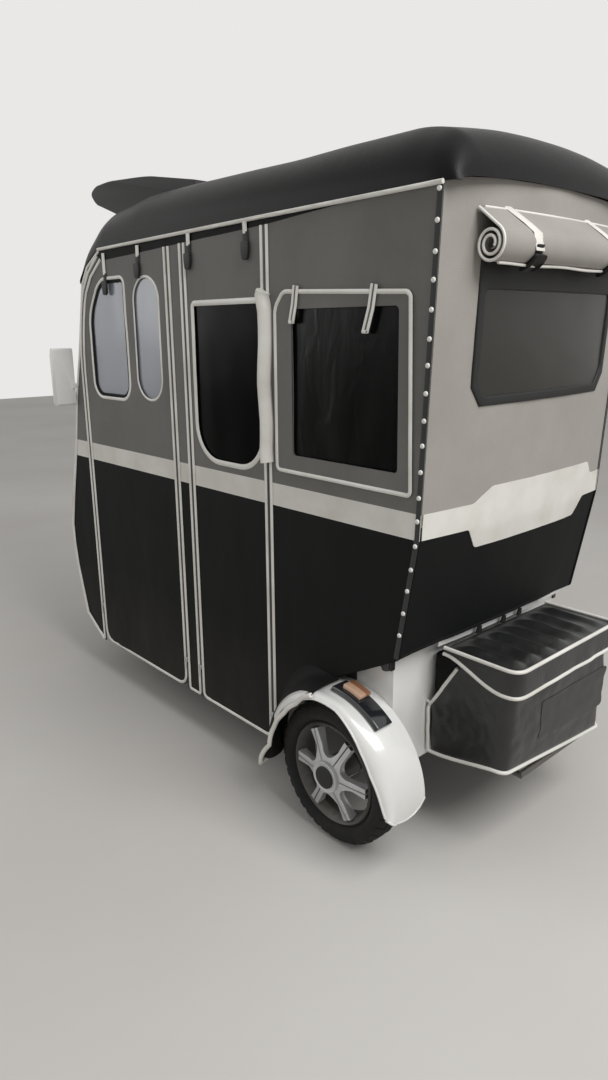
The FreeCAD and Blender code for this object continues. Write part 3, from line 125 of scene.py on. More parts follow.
def coatedCanvas(name, look):
    # woven polyester with a rubber coat: fine square threads, soft sheen, cloudy fading,
    # dust on the lowest part; the 0.6 mm thread is drawn coarser so that it shows
    material, shader, spot = startMaterial(name, {
        "Roughness": look["rough"], "Sheen Weight": look["sheen"], "Sheen Roughness": 0.45,
        "Specular IOR Level": look.get("shine", 0.4)})
    turned = addNode(material, "Mapping", {"Rotation": (0, 0, math.pi / 4)}, {"Vector": spot})
    upright = addNode(material, "TexWave", {
        "bands_direction": "X", "Scale": waveScale(look["thread"]), "Distortion": 0.6, "Detail": 1,
        "Detail Scale": 2}, {"Vector": turned.outputs[0]})
    level = addNode(material, "TexWave", {
        "bands_direction": look.get("second", "Z"), "Scale": waveScale(look["thread"]), "Distortion": 0.6,
        "Detail": 1, "Detail Scale": 2}, {"Vector": spot})
    weave = addNode(material, "Math", {"operation": "MAXIMUM"}, {
        0: upright.outputs["Fac"], 1: level.outputs["Fac"]})
    creases = addNode(material, "TexNoise", {
        "Scale": grainScale(look["crease"]), "Detail": 4, "Roughness": 0.55, "Distortion": 0.6}, {
        "Vector": spot})
    soft = addNode(material, "Bump", {"Strength": 0.35, "Distance": 0.004}, {
        "Height": creases.outputs["Fac"]})
    bump = addNode(material, "Bump", {"Strength": 0.3, "Distance": 0.0005}, {
        "Height": weave.outputs[0], "Normal": soft.outputs[0]})
    clouds = addNode(material, "TexNoise", {"Scale": 3.2, "Detail": 7, "Roughness": 0.62}, {"Vector": spot})
    fade = addNode(material, "MapRange", {"From Min": 0.38, "From Max": 0.68}, {
        "Value": clouds.outputs["Fac"]})
    colour = addNode(material, "Mix", {
        "data_type": "RGBA", 6: hexColour(look["colour"]), 7: hexColour(look["faded"])}, {0: fade.outputs[0]})
    thread = addNode(material, "Mix", {
        "data_type": "RGBA", "blend_type": "MULTIPLY", 0: 0.35, 7: (1, 1, 1, 1)}, {6: colour.outputs[2]})
    shade = addNode(material, "MapRange", {"To Min": 0.72, "To Max": 1.12}, {"Value": weave.outputs[0]})
    grey = addNode(material, "CombineColor", links={
        0: shade.outputs[0], 1: shade.outputs[0], 2: shade.outputs[0]})
    material.node_tree.links.new(grey.outputs[0], thread.inputs[7])
    height = addNode(material, "SeparateXYZ", links={0: spot}).outputs["Z"]
    low = addNode(material, "MapRange", {
        "From Min": look.get("dustTop", 0.5), "From Max": 0.12, "To Max": look["dust"]}, {"Value": height})
    patchy = addNode(material, "Math", {"operation": "MULTIPLY"}, {
        0: low.outputs[0], 1: clouds.outputs["Fac"]})
    dusty = addNode(material, "Mix", {"data_type": "RGBA", 7: hexColour("7d776c")}, {
        0: patchy.outputs[0], 6: thread.outputs[2]})
    return joinUp(material, shader, dusty, bump)


def cloudySurface(name, settings, relief, colours, clouds, spread=None):
    # relief is bumps laid one on another: strength, depth in mm, texture and its settings;
    # the colour goes from the first to the second by clouds, spread over this part of their range
    material, shader, spot = startMaterial(name, settings)
    under = {}
    for strength, depth, kind, pattern in relief:
        texture = addNode(material, kind, pattern, {"Vector": spot})
        height = texture.outputs["Distance" if kind == "TexVoronoi" else "Fac"]
        bump = addNode(material, "Bump", {"Strength": strength, "Distance": depth / 1000}, {
            "Height": height, **under})
        under = {"Normal": bump.outputs[0]}
    cloud = addNode(material, "TexNoise", clouds, {"Vector": spot}).outputs["Fac"]
    share = addNode(material, "MapRange", spread, {"Value": cloud}).outputs[0] if spread else cloud
    colour = addNode(material, "Mix", {
        "data_type": "RGBA", 6: hexColour(colours[0]), 7: hexColour(colours[1])}, {0: share})
    return joinUp(material, shader, colour, bump), shader, cloud


def softVinyl(name, look):
    # calendered PVC leathercloth: pebbled grain, satin shine that breaks up in the creases
    creases = {"Scale": grainScale(look["crease"]), "Detail": 5, "Distortion": 1.2}
    return cloudySurface(
        name, {"Roughness": look["rough"], "Coat Weight": look.get("coat", 0.15), "Coat Roughness": 0.35},
        [(0.5, look.get("depth", 3), "TexNoise", creases),
         (0.22, 0.4, "TexVoronoi", {"Scale": grainScale(look["grain"])})],
        (look["colour"], look["worn"]), {"Scale": 9, "Detail": 6}, {"From Min": 0.4, "From Max": 0.7})[0]


def sprayedPaint(name, look):
    # enamel sprayed on pressed steel: faint orange peel, clear gloss, grime low down
    material, shader, spot = startMaterial(name, {
        "Roughness": look["rough"], "Coat Weight": look["coat"], "Coat Roughness": 0.06,
        "Metallic": look.get("metal", 0)})
    peel = addNode(material, "TexNoise", {"Scale": grainScale(6), "Detail": 2}, {"Vector": spot})
    bump = addNode(material, "Bump", {"Strength": 0.06, "Distance": 0.0006}, {"Height": peel.outputs["Fac"]})
    clouds = addNode(material, "TexNoise", {"Scale": 6, "Detail": 8, "Roughness": 0.65}, {"Vector": spot})
    height = addNode(material, "SeparateXYZ", links={0: spot}).outputs["Z"]
    low = addNode(material, "MapRange", {"From Min": 0.55, "From Max": 0.1, "To Max": look["grime"]}, {
        "Value": height})
    film = addNode(material, "Math", {"operation": "MULTIPLY"}, {0: low.outputs[0], 1: clouds.outputs["Fac"]})
    colour = addNode(material, "Mix", {
        "data_type": "RGBA", 6: hexColour(look["colour"]), 7: hexColour("8a8378")}, {0: film.outputs[0]})
    return joinUp(material, shader, colour, bump)


def mouldedPlastic(name, look):
    # injection-moulded ABS or nylon: fine spark-eroded texture, even colour
    return cloudySurface(
        name, {"Roughness": look["rough"], "IOR": 1.53, "Coat Weight": look.get("coat", 0)},
        [(0.15, 0.4, "TexNoise", {"Scale": grainScale(look.get("grain", 1.5)), "Detail": 3})],
        (look["colour"], look["worn"]), {"Scale": 12, "Detail": 5})[0]


def castMetal(name, look):
    # cast or drawn metal: small pits, brushed highlights, dull patches
    material, shader, cloud = cloudySurface(
        name, {"Metallic": look.get("metal", 1), "Roughness": look["rough"]},
        [(0.12, 0.5, "TexNoise", {"Scale": grainScale(look.get("grain", 2)), "Detail": 4})],
        (look["colour"], look["worn"]), {"Scale": 14, "Detail": 6})
    dull = addNode(material, "MapRange", {"To Min": look["rough"] - 0.08, "To Max": look["rough"] + 0.15}, {
        "Value": cloud})
    material.node_tree.links.new(dull.outputs[0], shader.inputs["Roughness"])
    return material


def clearFilm(name, look):
    # soft see-through PVC or acrylic: slow waves that bend what is behind it
    material, shader, spot = startMaterial(name, {
        "Base Color": hexColour(look["colour"]), "Roughness": look["rough"], "IOR": look.get("ior", 1.35),
        "Transmission Weight": look["clear"], "Specular IOR Level": look.get("shine", 0.5)})
    tall = addNode(material, "Mapping", {"Scale": (1, 1, 0.45)}, {"Vector": spot})
    waves = addNode(material, "TexNoise", {
        "Scale": grainScale(look["wave"]), "Detail": 2, "Distortion": 1.4}, {"Vector": tall.outputs[0]})
    bump = addNode(material, "Bump", {"Strength": look["bend"], "Distance": 0.006}, {
        "Height": waves.outputs["Fac"]})
    material.node_tree.links.new(bump.outputs[0], shader.inputs["Normal"])
    return material


def tyreRubber(name, look):
    # black rubber gone grey with road dust, most of it in the tread
    return cloudySurface(
        name, {"Roughness": 0.82, "Specular IOR Level": 0.35},
        [(0.25, 0.6, "TexNoise", {"Scale": grainScale(2), "Detail": 5})], (look["colour"], look["dusty"]),
        {"Scale": 11, "Detail": 8, "Roughness": 0.7}, {"From Min": 0.45, "From Max": 0.75, "To Max": 0.55})[0]


canvasGrey = coatedCanvas("greyCoatedCanvas", {
    "colour": "64625f", "faded": "6f6d6a", "rough": 0.72, "sheen": 0.12, "thread": 3.2, "crease": 160,
    "dust": 0})
canvasWarm = coatedCanvas("warmGreyCoatedCanvas", {
    "colour": "94908a", "faded": "9f9b95", "rough": 0.7, "sheen": 0.12, "thread": 3.2, "crease": 190,
    "dust": 0})
canvasBlack = coatedCanvas("blackCoatedCanvas", {
    "colour": "08090a", "faded": "0d0e0e", "rough": 0.7, "sheen": 0.0, "thread": 3.2, "crease": 150,
    "dust": 0.15, "shine": 0.18})
stripeVinyl = softVinyl("offWhiteStripeVinyl", {
    "colour": "dcdad4", "worn": "cfccc4", "rough": 0.5, "grain": 2.2, "crease": 70, "depth": 2})
pipingVinyl = softVinyl("whitePipingVinyl", {
    "colour": "e6e4de", "worn": "d3d0c8", "rough": 0.42, "grain": 2, "crease": 40, "depth": 1})
roofCloth = coatedCanvas("blackRoofTarpaulin", {
    "colour": "030304", "faded": "050506", "rough": 0.36, "sheen": 0.0, "thread": 3.6, "crease": 240,
    "dust": 0, "second": "Y", "shine": 0.15})
bindingCloth = coatedCanvas("darkBindingTape", {
    "colour": "2a2a2b", "faded": "343435", "rough": 0.7, "sheen": 0.1, "thread": 2.4, "crease": 60, "dust": 0})
bagVinyl = softVinyl("charcoalLeathercloth", {
    "colour": "191a1a", "worn": "242524", "rough": 0.38, "grain": 2.6, "crease": 75, "depth": 6, "coat": 0.2})
patchVinyl = softVinyl("patchLeathercloth", {
    "colour": "2e2e2d", "worn": "353534", "rough": 0.55, "grain": 2.2, "crease": 60, "depth": 1})
seatVinyl = softVinyl("seatLeathercloth", {
    "colour": "2a2a2d", "worn": "333337", "rough": 0.45, "grain": 2.6, "crease": 90, "depth": 3})
whitePaint = sprayedPaint("whiteSprayedEnamel", {
    "colour": "e4e4e1", "rough": 0.28, "coat": 0.7, "grime": 0.35})
framePaint = sprayedPaint("blackFrameEnamel", {"colour": "1d1d1f", "rough": 0.42, "coat": 0.3, "grime": 0.6})
floorPaint = sprayedPaint("greyFloorEnamel", {"colour": "2c2d30", "rough": 0.5, "coat": 0.2, "grime": 0.5})
axlePaint = castMetal("axleCastIron", {
    "colour": "3a3b3d", "worn": "2c2a28", "rough": 0.6, "metal": 0.7, "grain": 4})
motorAlloy = castMetal("motorDieCastAluminium", {"colour": "8d9093", "worn": "6f7072", "rough": 0.45})
wheelAlloy = castMetal("turnedCastAluminium", {
    "colour": "d6d7d8", "worn": "bdbebf", "rough": 0.34, "metal": 0.5, "grain": 1.4})
wheelDark = sprayedPaint("darkWheelEnamel", {"colour": "1e1f21", "rough": 0.5, "coat": 0.1, "grime": 0.5})
rubber = tyreRubber("tyreRubber", {"colour": "141415", "dusty": "35322d"})
springSteel = sprayedPaint("springEnamel", {"colour": "2f3034", "rough": 0.4, "coat": 0.3, "grime": 0.5})
brightChrome = castMetal("chromePlate", {"colour": "d5d7d9", "worn": "c3c5c8", "rough": 0.12, "grain": 8})
blackPlastic = mouldedPlastic("blackMouldedPlastic", {"colour": "090909", "worn": "0d0d0e", "rough": 0.6})
visorPlastic = mouldedPlastic("blackVisorPlastic", {"colour": "020203", "worn": "040405", "rough": 0.62})
batteryPlastic = mouldedPlastic("batteryCasePlastic", {"colour": "2a2b2d", "worn": "343537", "rough": 0.55})
gripRubber = mouldedPlastic("gripRubber", {"colour": "141415", "worn": "1c1c1d", "rough": 0.75, "grain": 3})
studPlastic = mouldedPlastic("whiteStudPlastic", {"colour": "e9e8e4", "worn": "d6d4ce", "rough": 0.35})
zipNylon = mouldedPlastic("zipNylon", {"colour": "232324", "worn": "2f2f30", "rough": 0.45, "grain": 1})
smokedLens = mouldedPlastic("smokedAcrylic", {
    "colour": "1c1e21", "worn": "24262a", "rough": 0.12, "coat": 0.6})
amberLens = mouldedPlastic("amberAcrylic", {"colour": "9c6a4a", "worn": "875a3e", "rough": 0.2, "coat": 0.5})
paleAmber = mouldedPlastic("paleAmberAcrylic", {
    "colour": "c9a98f", "worn": "b99478", "rough": 0.2, "coat": 0.5})
# near black and little see-through: partly the film's tint, partly painted shade of the dark cabin behind it
doorFilm = clearFilm("tintAndCabinShadeFilm", {
    "colour": "040405", "rough": 0.16, "clear": 0.2, "wave": 120, "bend": 0.04, "shine": 0.05, "ior": 1.15})
# light grey and little see-through: painted light of the bright backdrop seen through the cabin
brightFilm = clearFilm("backdropLightWindowFilm", {
    "colour": "868b95", "rough": 0.2, "clear": 0.12, "wave": 110, "bend": 0.05})
# near black and little see-through: painted shade of the dark cabin behind the quarter window
wavyFilm = clearFilm("wavyWindowFilm", {
    "colour": "090a0a", "rough": 0.22, "clear": 0.3, "wave": 62, "bend": 0.2, "shine": 0.12, "ior": 1.2})
rearFilm = clearFilm("rearWindowFilm", {
    "colour": "4f4e4a", "rough": 0.24, "clear": 0.55, "wave": 160, "bend": 0.02, "shine": 0.4})
screenAcrylic = clearFilm("windscreenAcrylic", {
    "colour": "e2e8e8", "rough": 0.02, "clear": 0.98, "wave": 400, "bend": 0.05, "ior": 1.45})
lampLens = clearFilm("lampPolycarbonate", {
    "colour": "f0f3f4", "rough": 0.05, "clear": 0.75, "wave": 14, "bend": 0.3, "ior": 1.5})
print("materials made")


def settle(name, data, slot, replaced, body):
    # puts a piece on its body
    piece = bpy.data.objects.new(name, data)
    scene.collection.objects.link(piece)
    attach(piece, body)
    if replaced:
        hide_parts(*replaced)
    return piece


def addPiece(name, bm, materials, slot, replaced=(), sharp=38, body="chassis"):
    mesh = bpy.data.meshes.new(name)
    bm.to_mesh(mesh)
    bm.free()
    for material in materials:
        mesh.materials.append(material)
    mesh.polygons.foreach_set("use_smooth", [True] * len(mesh.polygons))
    mesh.set_sharp_from_angle(angle=math.radians(sharp))
    return settle(name, mesh, slot, replaced, body)


def bothSides(name, bm, materials, slot, replaced=((), ()), sharp=38):
    # a piece and its mirror image on the right
    left = addPiece(name + "Left", bm, materials, slot, replaced[0], sharp)
    bm = bmesh.new()
    bm.from_mesh(left.data)
    bmesh.ops.scale(bm, vec=(1, -1, 1), verts=bm.verts)
    bmesh.ops.reverse_faces(bm, faces=bm.faces)
    return left, addPiece(name + "Right", bm, materials, slot, replaced[1])


def roundCurve(name, runs, radius, resolution=2, closed=False):
    # a tube of this radius in mm along each run of places
    curve = bpy.data.curves.new(name, "CURVE")
    curve.dimensions = "3D"
    curve.bevel_depth = radius / 1000
    curve.bevel_resolution = resolution
    curve.use_fill_caps = True
    for places in runs:
        spline = curve.splines.new("POLY")
        spline.points.add(len(places) - 1)
        for point, place in zip(spline.points, places):
            point.co = (*place, 1)
        spline.use_cyclic_u = closed
        spline.use_smooth = True
    return curve


def tubeRuns(name, runs, radius, material, slot, body="chassis"):
    curve = roundCurve(name, runs, radius)
    curve.materials.append(material)
    return settle(name, curve, slot, (), body)


def otherSide(runs):
    return [[Vector((p.x, -p.y, p.z)) for p in places] for places in runs]


def tubesBothSides(name, runs, radius, material, slot):
    tubeRuns(name + "Left", runs, radius, material, slot)
    tubeRuns(name + "Right", otherSide(runs), radius, material, slot)


def noiseAt(x, y, z):
    return noise.noise(Vector((x, y, z)))


def everyPart(bm):
    return bm.verts[:] + bm.edges[:] + bm.faces[:]


def sharpEdges(bm, above):
    return [edge for edge in bm.edges if edge.calc_face_angle(0) > above]


def easeEdges(bm, edges, by, steps, clamp=False):
    bmesh.ops.bevel(bm, geom=edges, offset=by / 1000, offset_type="OFFSET", segments=steps, profile=0.5,
                    affect="EDGES", clamp_overlap=clamp, material=-1)


def soften(bm, times):
    for i in range(times):
        bmesh.ops.smooth_vert(bm, verts=bm.verts, factor=0.5, use_axis_x=True, use_axis_y=True,
                              use_axis_z=True)


def giveWall(bm, wall, inward=lambda faces: False):
    # turns the faces outwards, then gives them a thickness in mm
    bmesh.ops.recalc_face_normals(bm, faces=bm.faces)
    if inward(bm.faces):
        bmesh.ops.reverse_faces(bm, faces=bm.faces)
    bmesh.ops.solidify(bm, geom=bm.faces[:], thickness=wall / 1000)


def layGrid(columns, rows, place):
    # an even grid, each point laid by its two shares, −0.5 to 0.5
    bm = bmesh.new()
    bmesh.ops.create_grid(bm, x_segments=columns, y_segments=rows, size=0.5)
    for vert in bm.verts:
        vert.co = place(vert.co.x, vert.co.y)
    return bm


def cutArea(piece):
    # area of one side of a cloth, in square metres
    return sum(face.area for face in piece.data.polygons) / 2


def spanOf(spots):
    # width and height in metres
    return [(max(spot[i] for spot in spots) - min(spot[i] for spot in spots)) / 1000 for i in (0, 1)]


def roundedFace(corners):
    # one flat face; each corner is across, up and how much it is rounded, in mm
    bm = bmesh.new()
    spots = [bm.verts.new((corner[0] / 1000, corner[1] / 1000, 0)) for corner in corners]
    bm.faces.new(spots)
    for spot, corner in zip(spots, corners):
        if len(corner) > 2 and corner[2]:
            bmesh.ops.bevel(bm, geom=[spot], offset=corner[2] / 1000, offset_type="OFFSET", segments=9,
                            profile=0.5, affect="VERTICES", material=-1)
    return bm


def outlineOf(corners):
    bm = roundedFace(corners)
    bm.faces.ensure_lookup_table()
    spots = [(spot.co.x * 1000, spot.co.y * 1000) for spot in bm.faces[0].verts]
    bm.free()
    return spots


def raised(bm, by):
    # flat faces made a block
    made = bmesh.ops.extrude_face_region(bm, geom=bm.faces[:])
    top = [item for item in made["geom"] if isinstance(item, bmesh.types.BMVert)]
    bmesh.ops.translate(bm, vec=(0, 0, by / 1000), verts=top)
    bmesh.ops.recalc_face_normals(bm, faces=bm.faces)
    return bm


def prismOf(corners, low, high):
    # a block over a rounded outline
    bm = roundedFace(corners)
    bmesh.ops.translate(bm, vec=(0, 0, low / 1000), verts=bm.verts)
    return raised(bm, high - low)


def looseObject(name, bm):
    mesh = bpy.data.meshes.new(name)
    bm.to_mesh(mesh)
    bm.free()
    item = bpy.data.objects.new(name, mesh)
    scene.collection.objects.link(item)
    return item


def bakedFrom(item, tools=()):
    # the mesh with its modifiers applied; the object and its tools are removed
    bpy.context.view_layer.update()
    mesh = bpy.data.meshes.new_from_object(item.evaluated_get(bpy.context.evaluated_depsgraph_get()))
    bm = bmesh.new()
    bm.from_mesh(mesh)
    for used in (item, *tools):
        bpy.data.objects.remove(used)
    bpy.data.meshes.remove(mesh)
    return bm


def cutCloth(corners, holes=(), step=16, thick=2.0, lines=()):
    # cloth cut to an outline from a fine grid, laid flat with its face upwards
    low, high = (Vector([pick(corner[i] for corner in corners) + margin for i in (0, 1)])
                 for pick, margin in ((min, -7), (max, 7)))
    size, middle = high - low, (high + low) / 2
    bm = bmesh.new()
    bmesh.ops.create_grid(bm, x_segments=max(3, round(size.x / step)), y_segments=max(3, round(size.y / step)),
                          size=0.5)
    bmesh.ops.scale(bm, vec=(size.x / 1000, size.y / 1000, 1), verts=bm.verts)
    bmesh.ops.translate(bm, vec=(middle.x / 1000, middle.y / 1000, -thick / 1000), verts=bm.verts)
    for height, fall in lines:   # seams: height over the rear axle and fall ahead of it
        bmesh.ops.bisect_plane(bm, geom=everyPart(bm), plane_co=(0, height / 1000, 0), plane_no=(fall, 1, 0))
    cloth = looseObject("uncutCloth", raised(bm, thick))
    cuts = [("INTERSECT", corners)] + [("DIFFERENCE", hole) for hole in holes]
    tools = [looseObject("cutter", prismOf(outline, -50, 50)) for operation, outline in cuts]
    for (operation, outline), tool in zip(cuts, tools):
        cutting = cloth.modifiers.new("cut", "BOOLEAN")
        cutting.operation = operation
        cutting.solver = "EXACT"
        cutting.object = tool
    bm = bakedFrom(cloth, tools)
    bmesh.ops.remove_doubles(bm, verts=bm.verts, dist=0.00002)
    bmesh.ops.triangulate(bm, faces=[face for face in bm.faces if len(face.verts) > 4])
    return bm


def hang(bm, place):
    # moves flat cloth to its place on the vehicle
    for vert in bm.verts:
        vert.co = place(vert.co.x * 1000, vert.co.y * 1000, vert.co.z * 1000)
    bmesh.ops.recalc_face_normals(bm, faces=bm.faces)


def smoothStep(value, low, high):
    share = max(0.0, min(1.0, (value - low) / (high - low)))
    return share * share * (3 - 2 * share)


def folds(across, up, seed, width=90, tall=260, depth=2.0):
    # slow upright folds in hung cloth
    slow = noiseAt(across / width, up / tall, seed)
    fine = noiseAt(across / (width * 0.35), up / (tall * 0.3), seed + 7)
    return depth * (slow + 0.35 * fine)


cabin = {
    "side": 424,          # outside of the canvas walls
    "beltLow": 904, "beltHigh": 968,
    "roofEdge": 1673, "roofFall": 20, "roofEnd": 1219, "rearTop": -256, "rearBelt": -227, "rearHem": -173,
    "rearHemHeight": 582, "rearBulge": 24, "doorHem": 148, "foldDepth": 2.2, "foldEdge": 70, "seamTaken": 1.5,
    "rearZip": 321, "pillarRear": 707, "pillarFront": 793, "frontZip": 1403}
rearZip, pillarRear, pillarFront, frontZip = (
    cabin[key] for key in ("rearZip", "pillarRear", "pillarFront", "frontZip"))

# band of black canvas below the roof edge, painted shade of the roof's overhang: its width over the rear axle, and
# how fast it widens ahead of that
strip = {"quarter": (3.15, 0.0525), "ahead": (13.26, 0.021), "start": -60, "atZip": 20}


def roofEdgeOver(along):
    long = cabin["roofEnd"] - cabin["rearTop"]
    return cabin["roofEdge"] - cabin["roofFall"] * (along - cabin["rearTop"]) / long


def sidePlace(low, high, seed):
    # wall of the left side between two zips; folds fade out at its sewn edges
    edge, middle = cabin["foldEdge"], (cabin["beltLow"] + cabin["beltHigh"]) / 2

    def place(along, up, out):
        hold = smoothStep(along, low, low + edge) * (1 - smoothStep(along, high - edge, high))
        belt = 0.35 + 0.65 * smoothStep(abs(up - middle), 20, 140)   # the double cloth of the belt folds less
        bottom = 1 + 1.2 * (1 - smoothStep(up, 150, 520))
        bow = folds(along, up, seed, depth=cabin["foldDepth"]) * hold * belt * bottom
        return at(along, cabin["side"] - cabin["seamTaken"] + out + bow, up)
    return place


def wallAt(side):
    # a flat wall this far from the middle
    return lambda along, up, out: at(along, side + out, up)


wallPlace = wallAt(cabin["side"])


def roofShadeBandEdge(along):
    # lower edge of the band of painted overhang shade under the roof edge: it widens fast over the quarter, then
    # slowly
    if along < rearZip:
        return roofEdgeOver(along) - strip["quarter"][1] * max(0.0, along - strip["start"])
    return roofEdgeOver(along) - (strip["atZip"] + strip["ahead"][1] * (along - rearZip))


def paintBands(bm):
    # 0 grey, 1 the pale belt, 2 black: the black cloth below the belt, and above the band's edge black as painted
    #                                   shade of the roof's overhang
    for face in bm.faces:
        middle = face.calc_center_median()
        height, along = middle.z * 1000, (middle.x - rearAxle) * 1000
        # above this edge the cloth is painted black as the roof overhang's shade
        if height > roofShadeBandEdge(along):
            face.material_index = 2
        else:
            face.material_index = 0 if height > cabin["beltHigh"] else 1 if height > cabin["beltLow"] else 2


quarterWindow = [(-158, 1056, 12), (-150, 1434, 12), (214, 1434, 12), (214, 1056, 12)]
rearDoorWindow = [(341, 994, 110), (341, 1460, 12), (667, 1460, 12), (667, 994, 110)]
ovalWindow = [(853, 1158, 77), (853, 1550, 77), (1010, 1550, 77), (1010, 1158, 77)]
roundWindow = [(1066, 1148, 60), (1066, 1556, 25), (1240, 1556, 45), (1325, 1440, 45), (1325, 1148, 60)]
frontCurve = [(1403, 1248), (1400, 1300), (1391, 1370), (1378, 1427), (1362, 1482), (1343, 1522), (1300, 1574),
              (1208, 1641)]
frontEdge = [(1212, 1652), (1219, 1652), (1314, 1604), (1363, 1546), (1432, 1295), (1481, 1151), (1521, 969),
             (1585, 752), (1623, 608), (1622, 520), (1610, 431), (1554, 223), (1489, 180), (1419, 141)]
arch = {"front": -14, "top": 83, "deep": 0.15, "piping": 7,
        "low": [(422, 302), (427, 287), (436, 274), (452, 265), (478, 258.5), (503, 246), (521, 226),
                (531, 208)],
        "high": [(424, 257), (430, 257.5), (440, 258), (456, 258.5), (480, 258), (504, 255), (522, 250.5),
                 (532, 245)],
        "lip": [(-14, 262), (-10, 256), (4, 212), (25, 206), (46, 204), (65, 216), (83, 246)]}


def between(table, value):
    # the table's value there, straight from one entry to the next
    for (low, first), (high, last) in zip(table, table[1:]):
        if value <= high:
            return first + (last - first) * max(0.0, value - low) / (high - low)
    return table[-1][1]


def aroundAxle(radius, side, angle):
    # a place at this angle up from straight ahead
    turn = math.radians(angle)
    return at(radius * math.cos(turn), side, axleUp + radius * math.sin(turn))


holeRadius = 256
wheelHole = [(holeRadius * math.cos(i * math.pi / 24), axleUp + holeRadius * math.sin(i * math.pi / 24))
             for i in range(48)]
panels = {
    "quarterCanvas": {
        "corners": [(-173, 582), (-227, 904), (-256, 1673), (320.5, roofEdgeOver(321)), (320.5, 131),
                    (262, 131), (150, 300), (50, 458), (-65, 520)],
        "holes": [quarterWindow, wheelHole], "zips": (-200, 321), "node": "quarter_panel"},
    "rearDoorCanvas": {
        "corners": [(321.5, 148, 26), (321.5, roofEdgeOver(321)), (706.5, roofEdgeOver(707)), (706.5, 148, 26)],
        "holes": [rearDoorWindow], "zips": (321, 707), "node": "rear_door"},
    "pillarCanvas": {
        "corners": [(707.5, 148), (707.5, roofEdgeOver(707)), (792.5, roofEdgeOver(793)), (792.5, 148)],
        "holes": [], "zips": (707, 793), "node": "pillar"},
    "frontDoorCanvas": {
        "corners": [(793.5, 148, 55), (793.5, roofEdgeOver(793)), (1200, 1652)] + frontCurve[::-1] + [
            (1402.5, 148, 60)],
        "holes": [ovalWindow, roundWindow], "zips": (793, 1403), "node": "front_door"},
    "frontCornerCanvas": {
        "corners": [(1403.5, 141)] + [(x + 1, z) for x, z in frontCurve] + frontEdge,
        "holes": [], "zips": (1403, 1620), "node": "front_corner"}}


def makeSides():
    slope = cabin["roofFall"] / (cabin["roofEnd"] - cabin["rearTop"])
    for number, (name, panel) in enumerate(panels.items()):
        panel["place"] = sidePlace(*panel["zips"], number * 3.1)
        drop, fall = strip["quarter" if name == "quarterCanvas" else "ahead"]
        # the third cut runs along the lower edge of the painted shade band under the roof
        seams = [(cabin["beltLow"], 0), (cabin["beltHigh"], 0), (roofEdgeOver(0) - drop, slope + fall)]
        bm = cutCloth(panel["corners"], panel["holes"], lines=seams)
        hang(bm, panel["place"])
        paintBands(bm)
        node = panel["node"]
        stands = [["pillar_strips"] if node == "pillar" else [node + side] for side in ("_left", "_right")]
        pieces = bothSides(name, bm, [canvasGrey, stripeVinyl, canvasBlack], "canvas_grey", stands)
        wide, tall = spanOf(outlineOf(panel["corners"]))
        cut = cutArea(pieces[0])
        wide = min(wide, cut / tall / 0.5)   # the corner piece is cut along its curve
        print(name, "hung")


def paced(spots, step=24, closed=False):
    # more points along straight stretches, so that a tape can follow its wall
    pairs = list(zip(spots, list(spots[1:]) + [spots[0]]))
    places = []
    for first, last in pairs if closed else pairs[:-1]:
        count = max(1, round(math.dist(first, last) / step))
        places += [tuple(Vector(first).lerp(Vector(last), i / count)) for i in range(count)]
    return places if closed else places + [tuple(spots[-1])]


def shifted(spots, by, closed=False):
    # the same line moved sideways
    moved = []
    for i, spot in enumerate(spots):
        before = spots[i - 1] if i or closed else spots[0]
        after = spots[(i + 1) % len(spots)] if i < len(spots) - 1 or closed else spots[-1]
        way = (Vector(after) - Vector(before)).normalized()
        moved.append((spot[0] - way.y * by, spot[1] + way.x * by))
    return moved


def easedRun(corners):
    # an open line; each corner is across, up and how much it is eased
    spots = []
    for i, corner in enumerate(corners):
        here = Vector(corner[:2])
        if len(corner) < 3:
            spots.append(tuple(here))
            continue
        before = here + (Vector(corners[i - 1][:2]) - here).normalized() * corner[2]
        after = here + (Vector(corners[i + 1][:2]) - here).normalized() * corner[2]
        spots += [tuple(before.lerp(here, t / 7).lerp(here.lerp(after, t / 7), t / 7)) for t in range(8)]
    return spots


def together(parts):
    whole = bmesh.new()
    for part in parts:
        mesh = bpy.data.meshes.new("part")
        part.to_mesh(mesh)
        part.free()
        whole.from_mesh(mesh)
        bpy.data.meshes.remove(mesh)
    return whole


def sewnTape(runs, width, proud, place, closed=False, resolution=1):
    # binding tape: round runs laid flat, pressed down, then hung on their wall
    flat = [[(spot[0] / 1000, spot[1] / 1000, 0) for spot in paced(spots, closed=closed)] for spots in runs]
    curve = roundCurve("tape", flat, width / 2, resolution, closed)
    holder = bpy.data.objects.new("tape", curve)
    mesh = bpy.data.meshes.new_from_object(holder)
    bm = bmesh.new()
    bm.from_mesh(mesh)
    bpy.data.objects.remove(holder)
    bpy.data.curves.remove(curve)
    bpy.data.meshes.remove(mesh)
    bmesh.ops.remove_doubles(bm, verts=bm.verts, dist=0.00001)
    bmesh.ops.scale(bm, vec=(1, 1, 2 * proud / width), verts=bm.verts)
    hang(bm, place)
    return bm


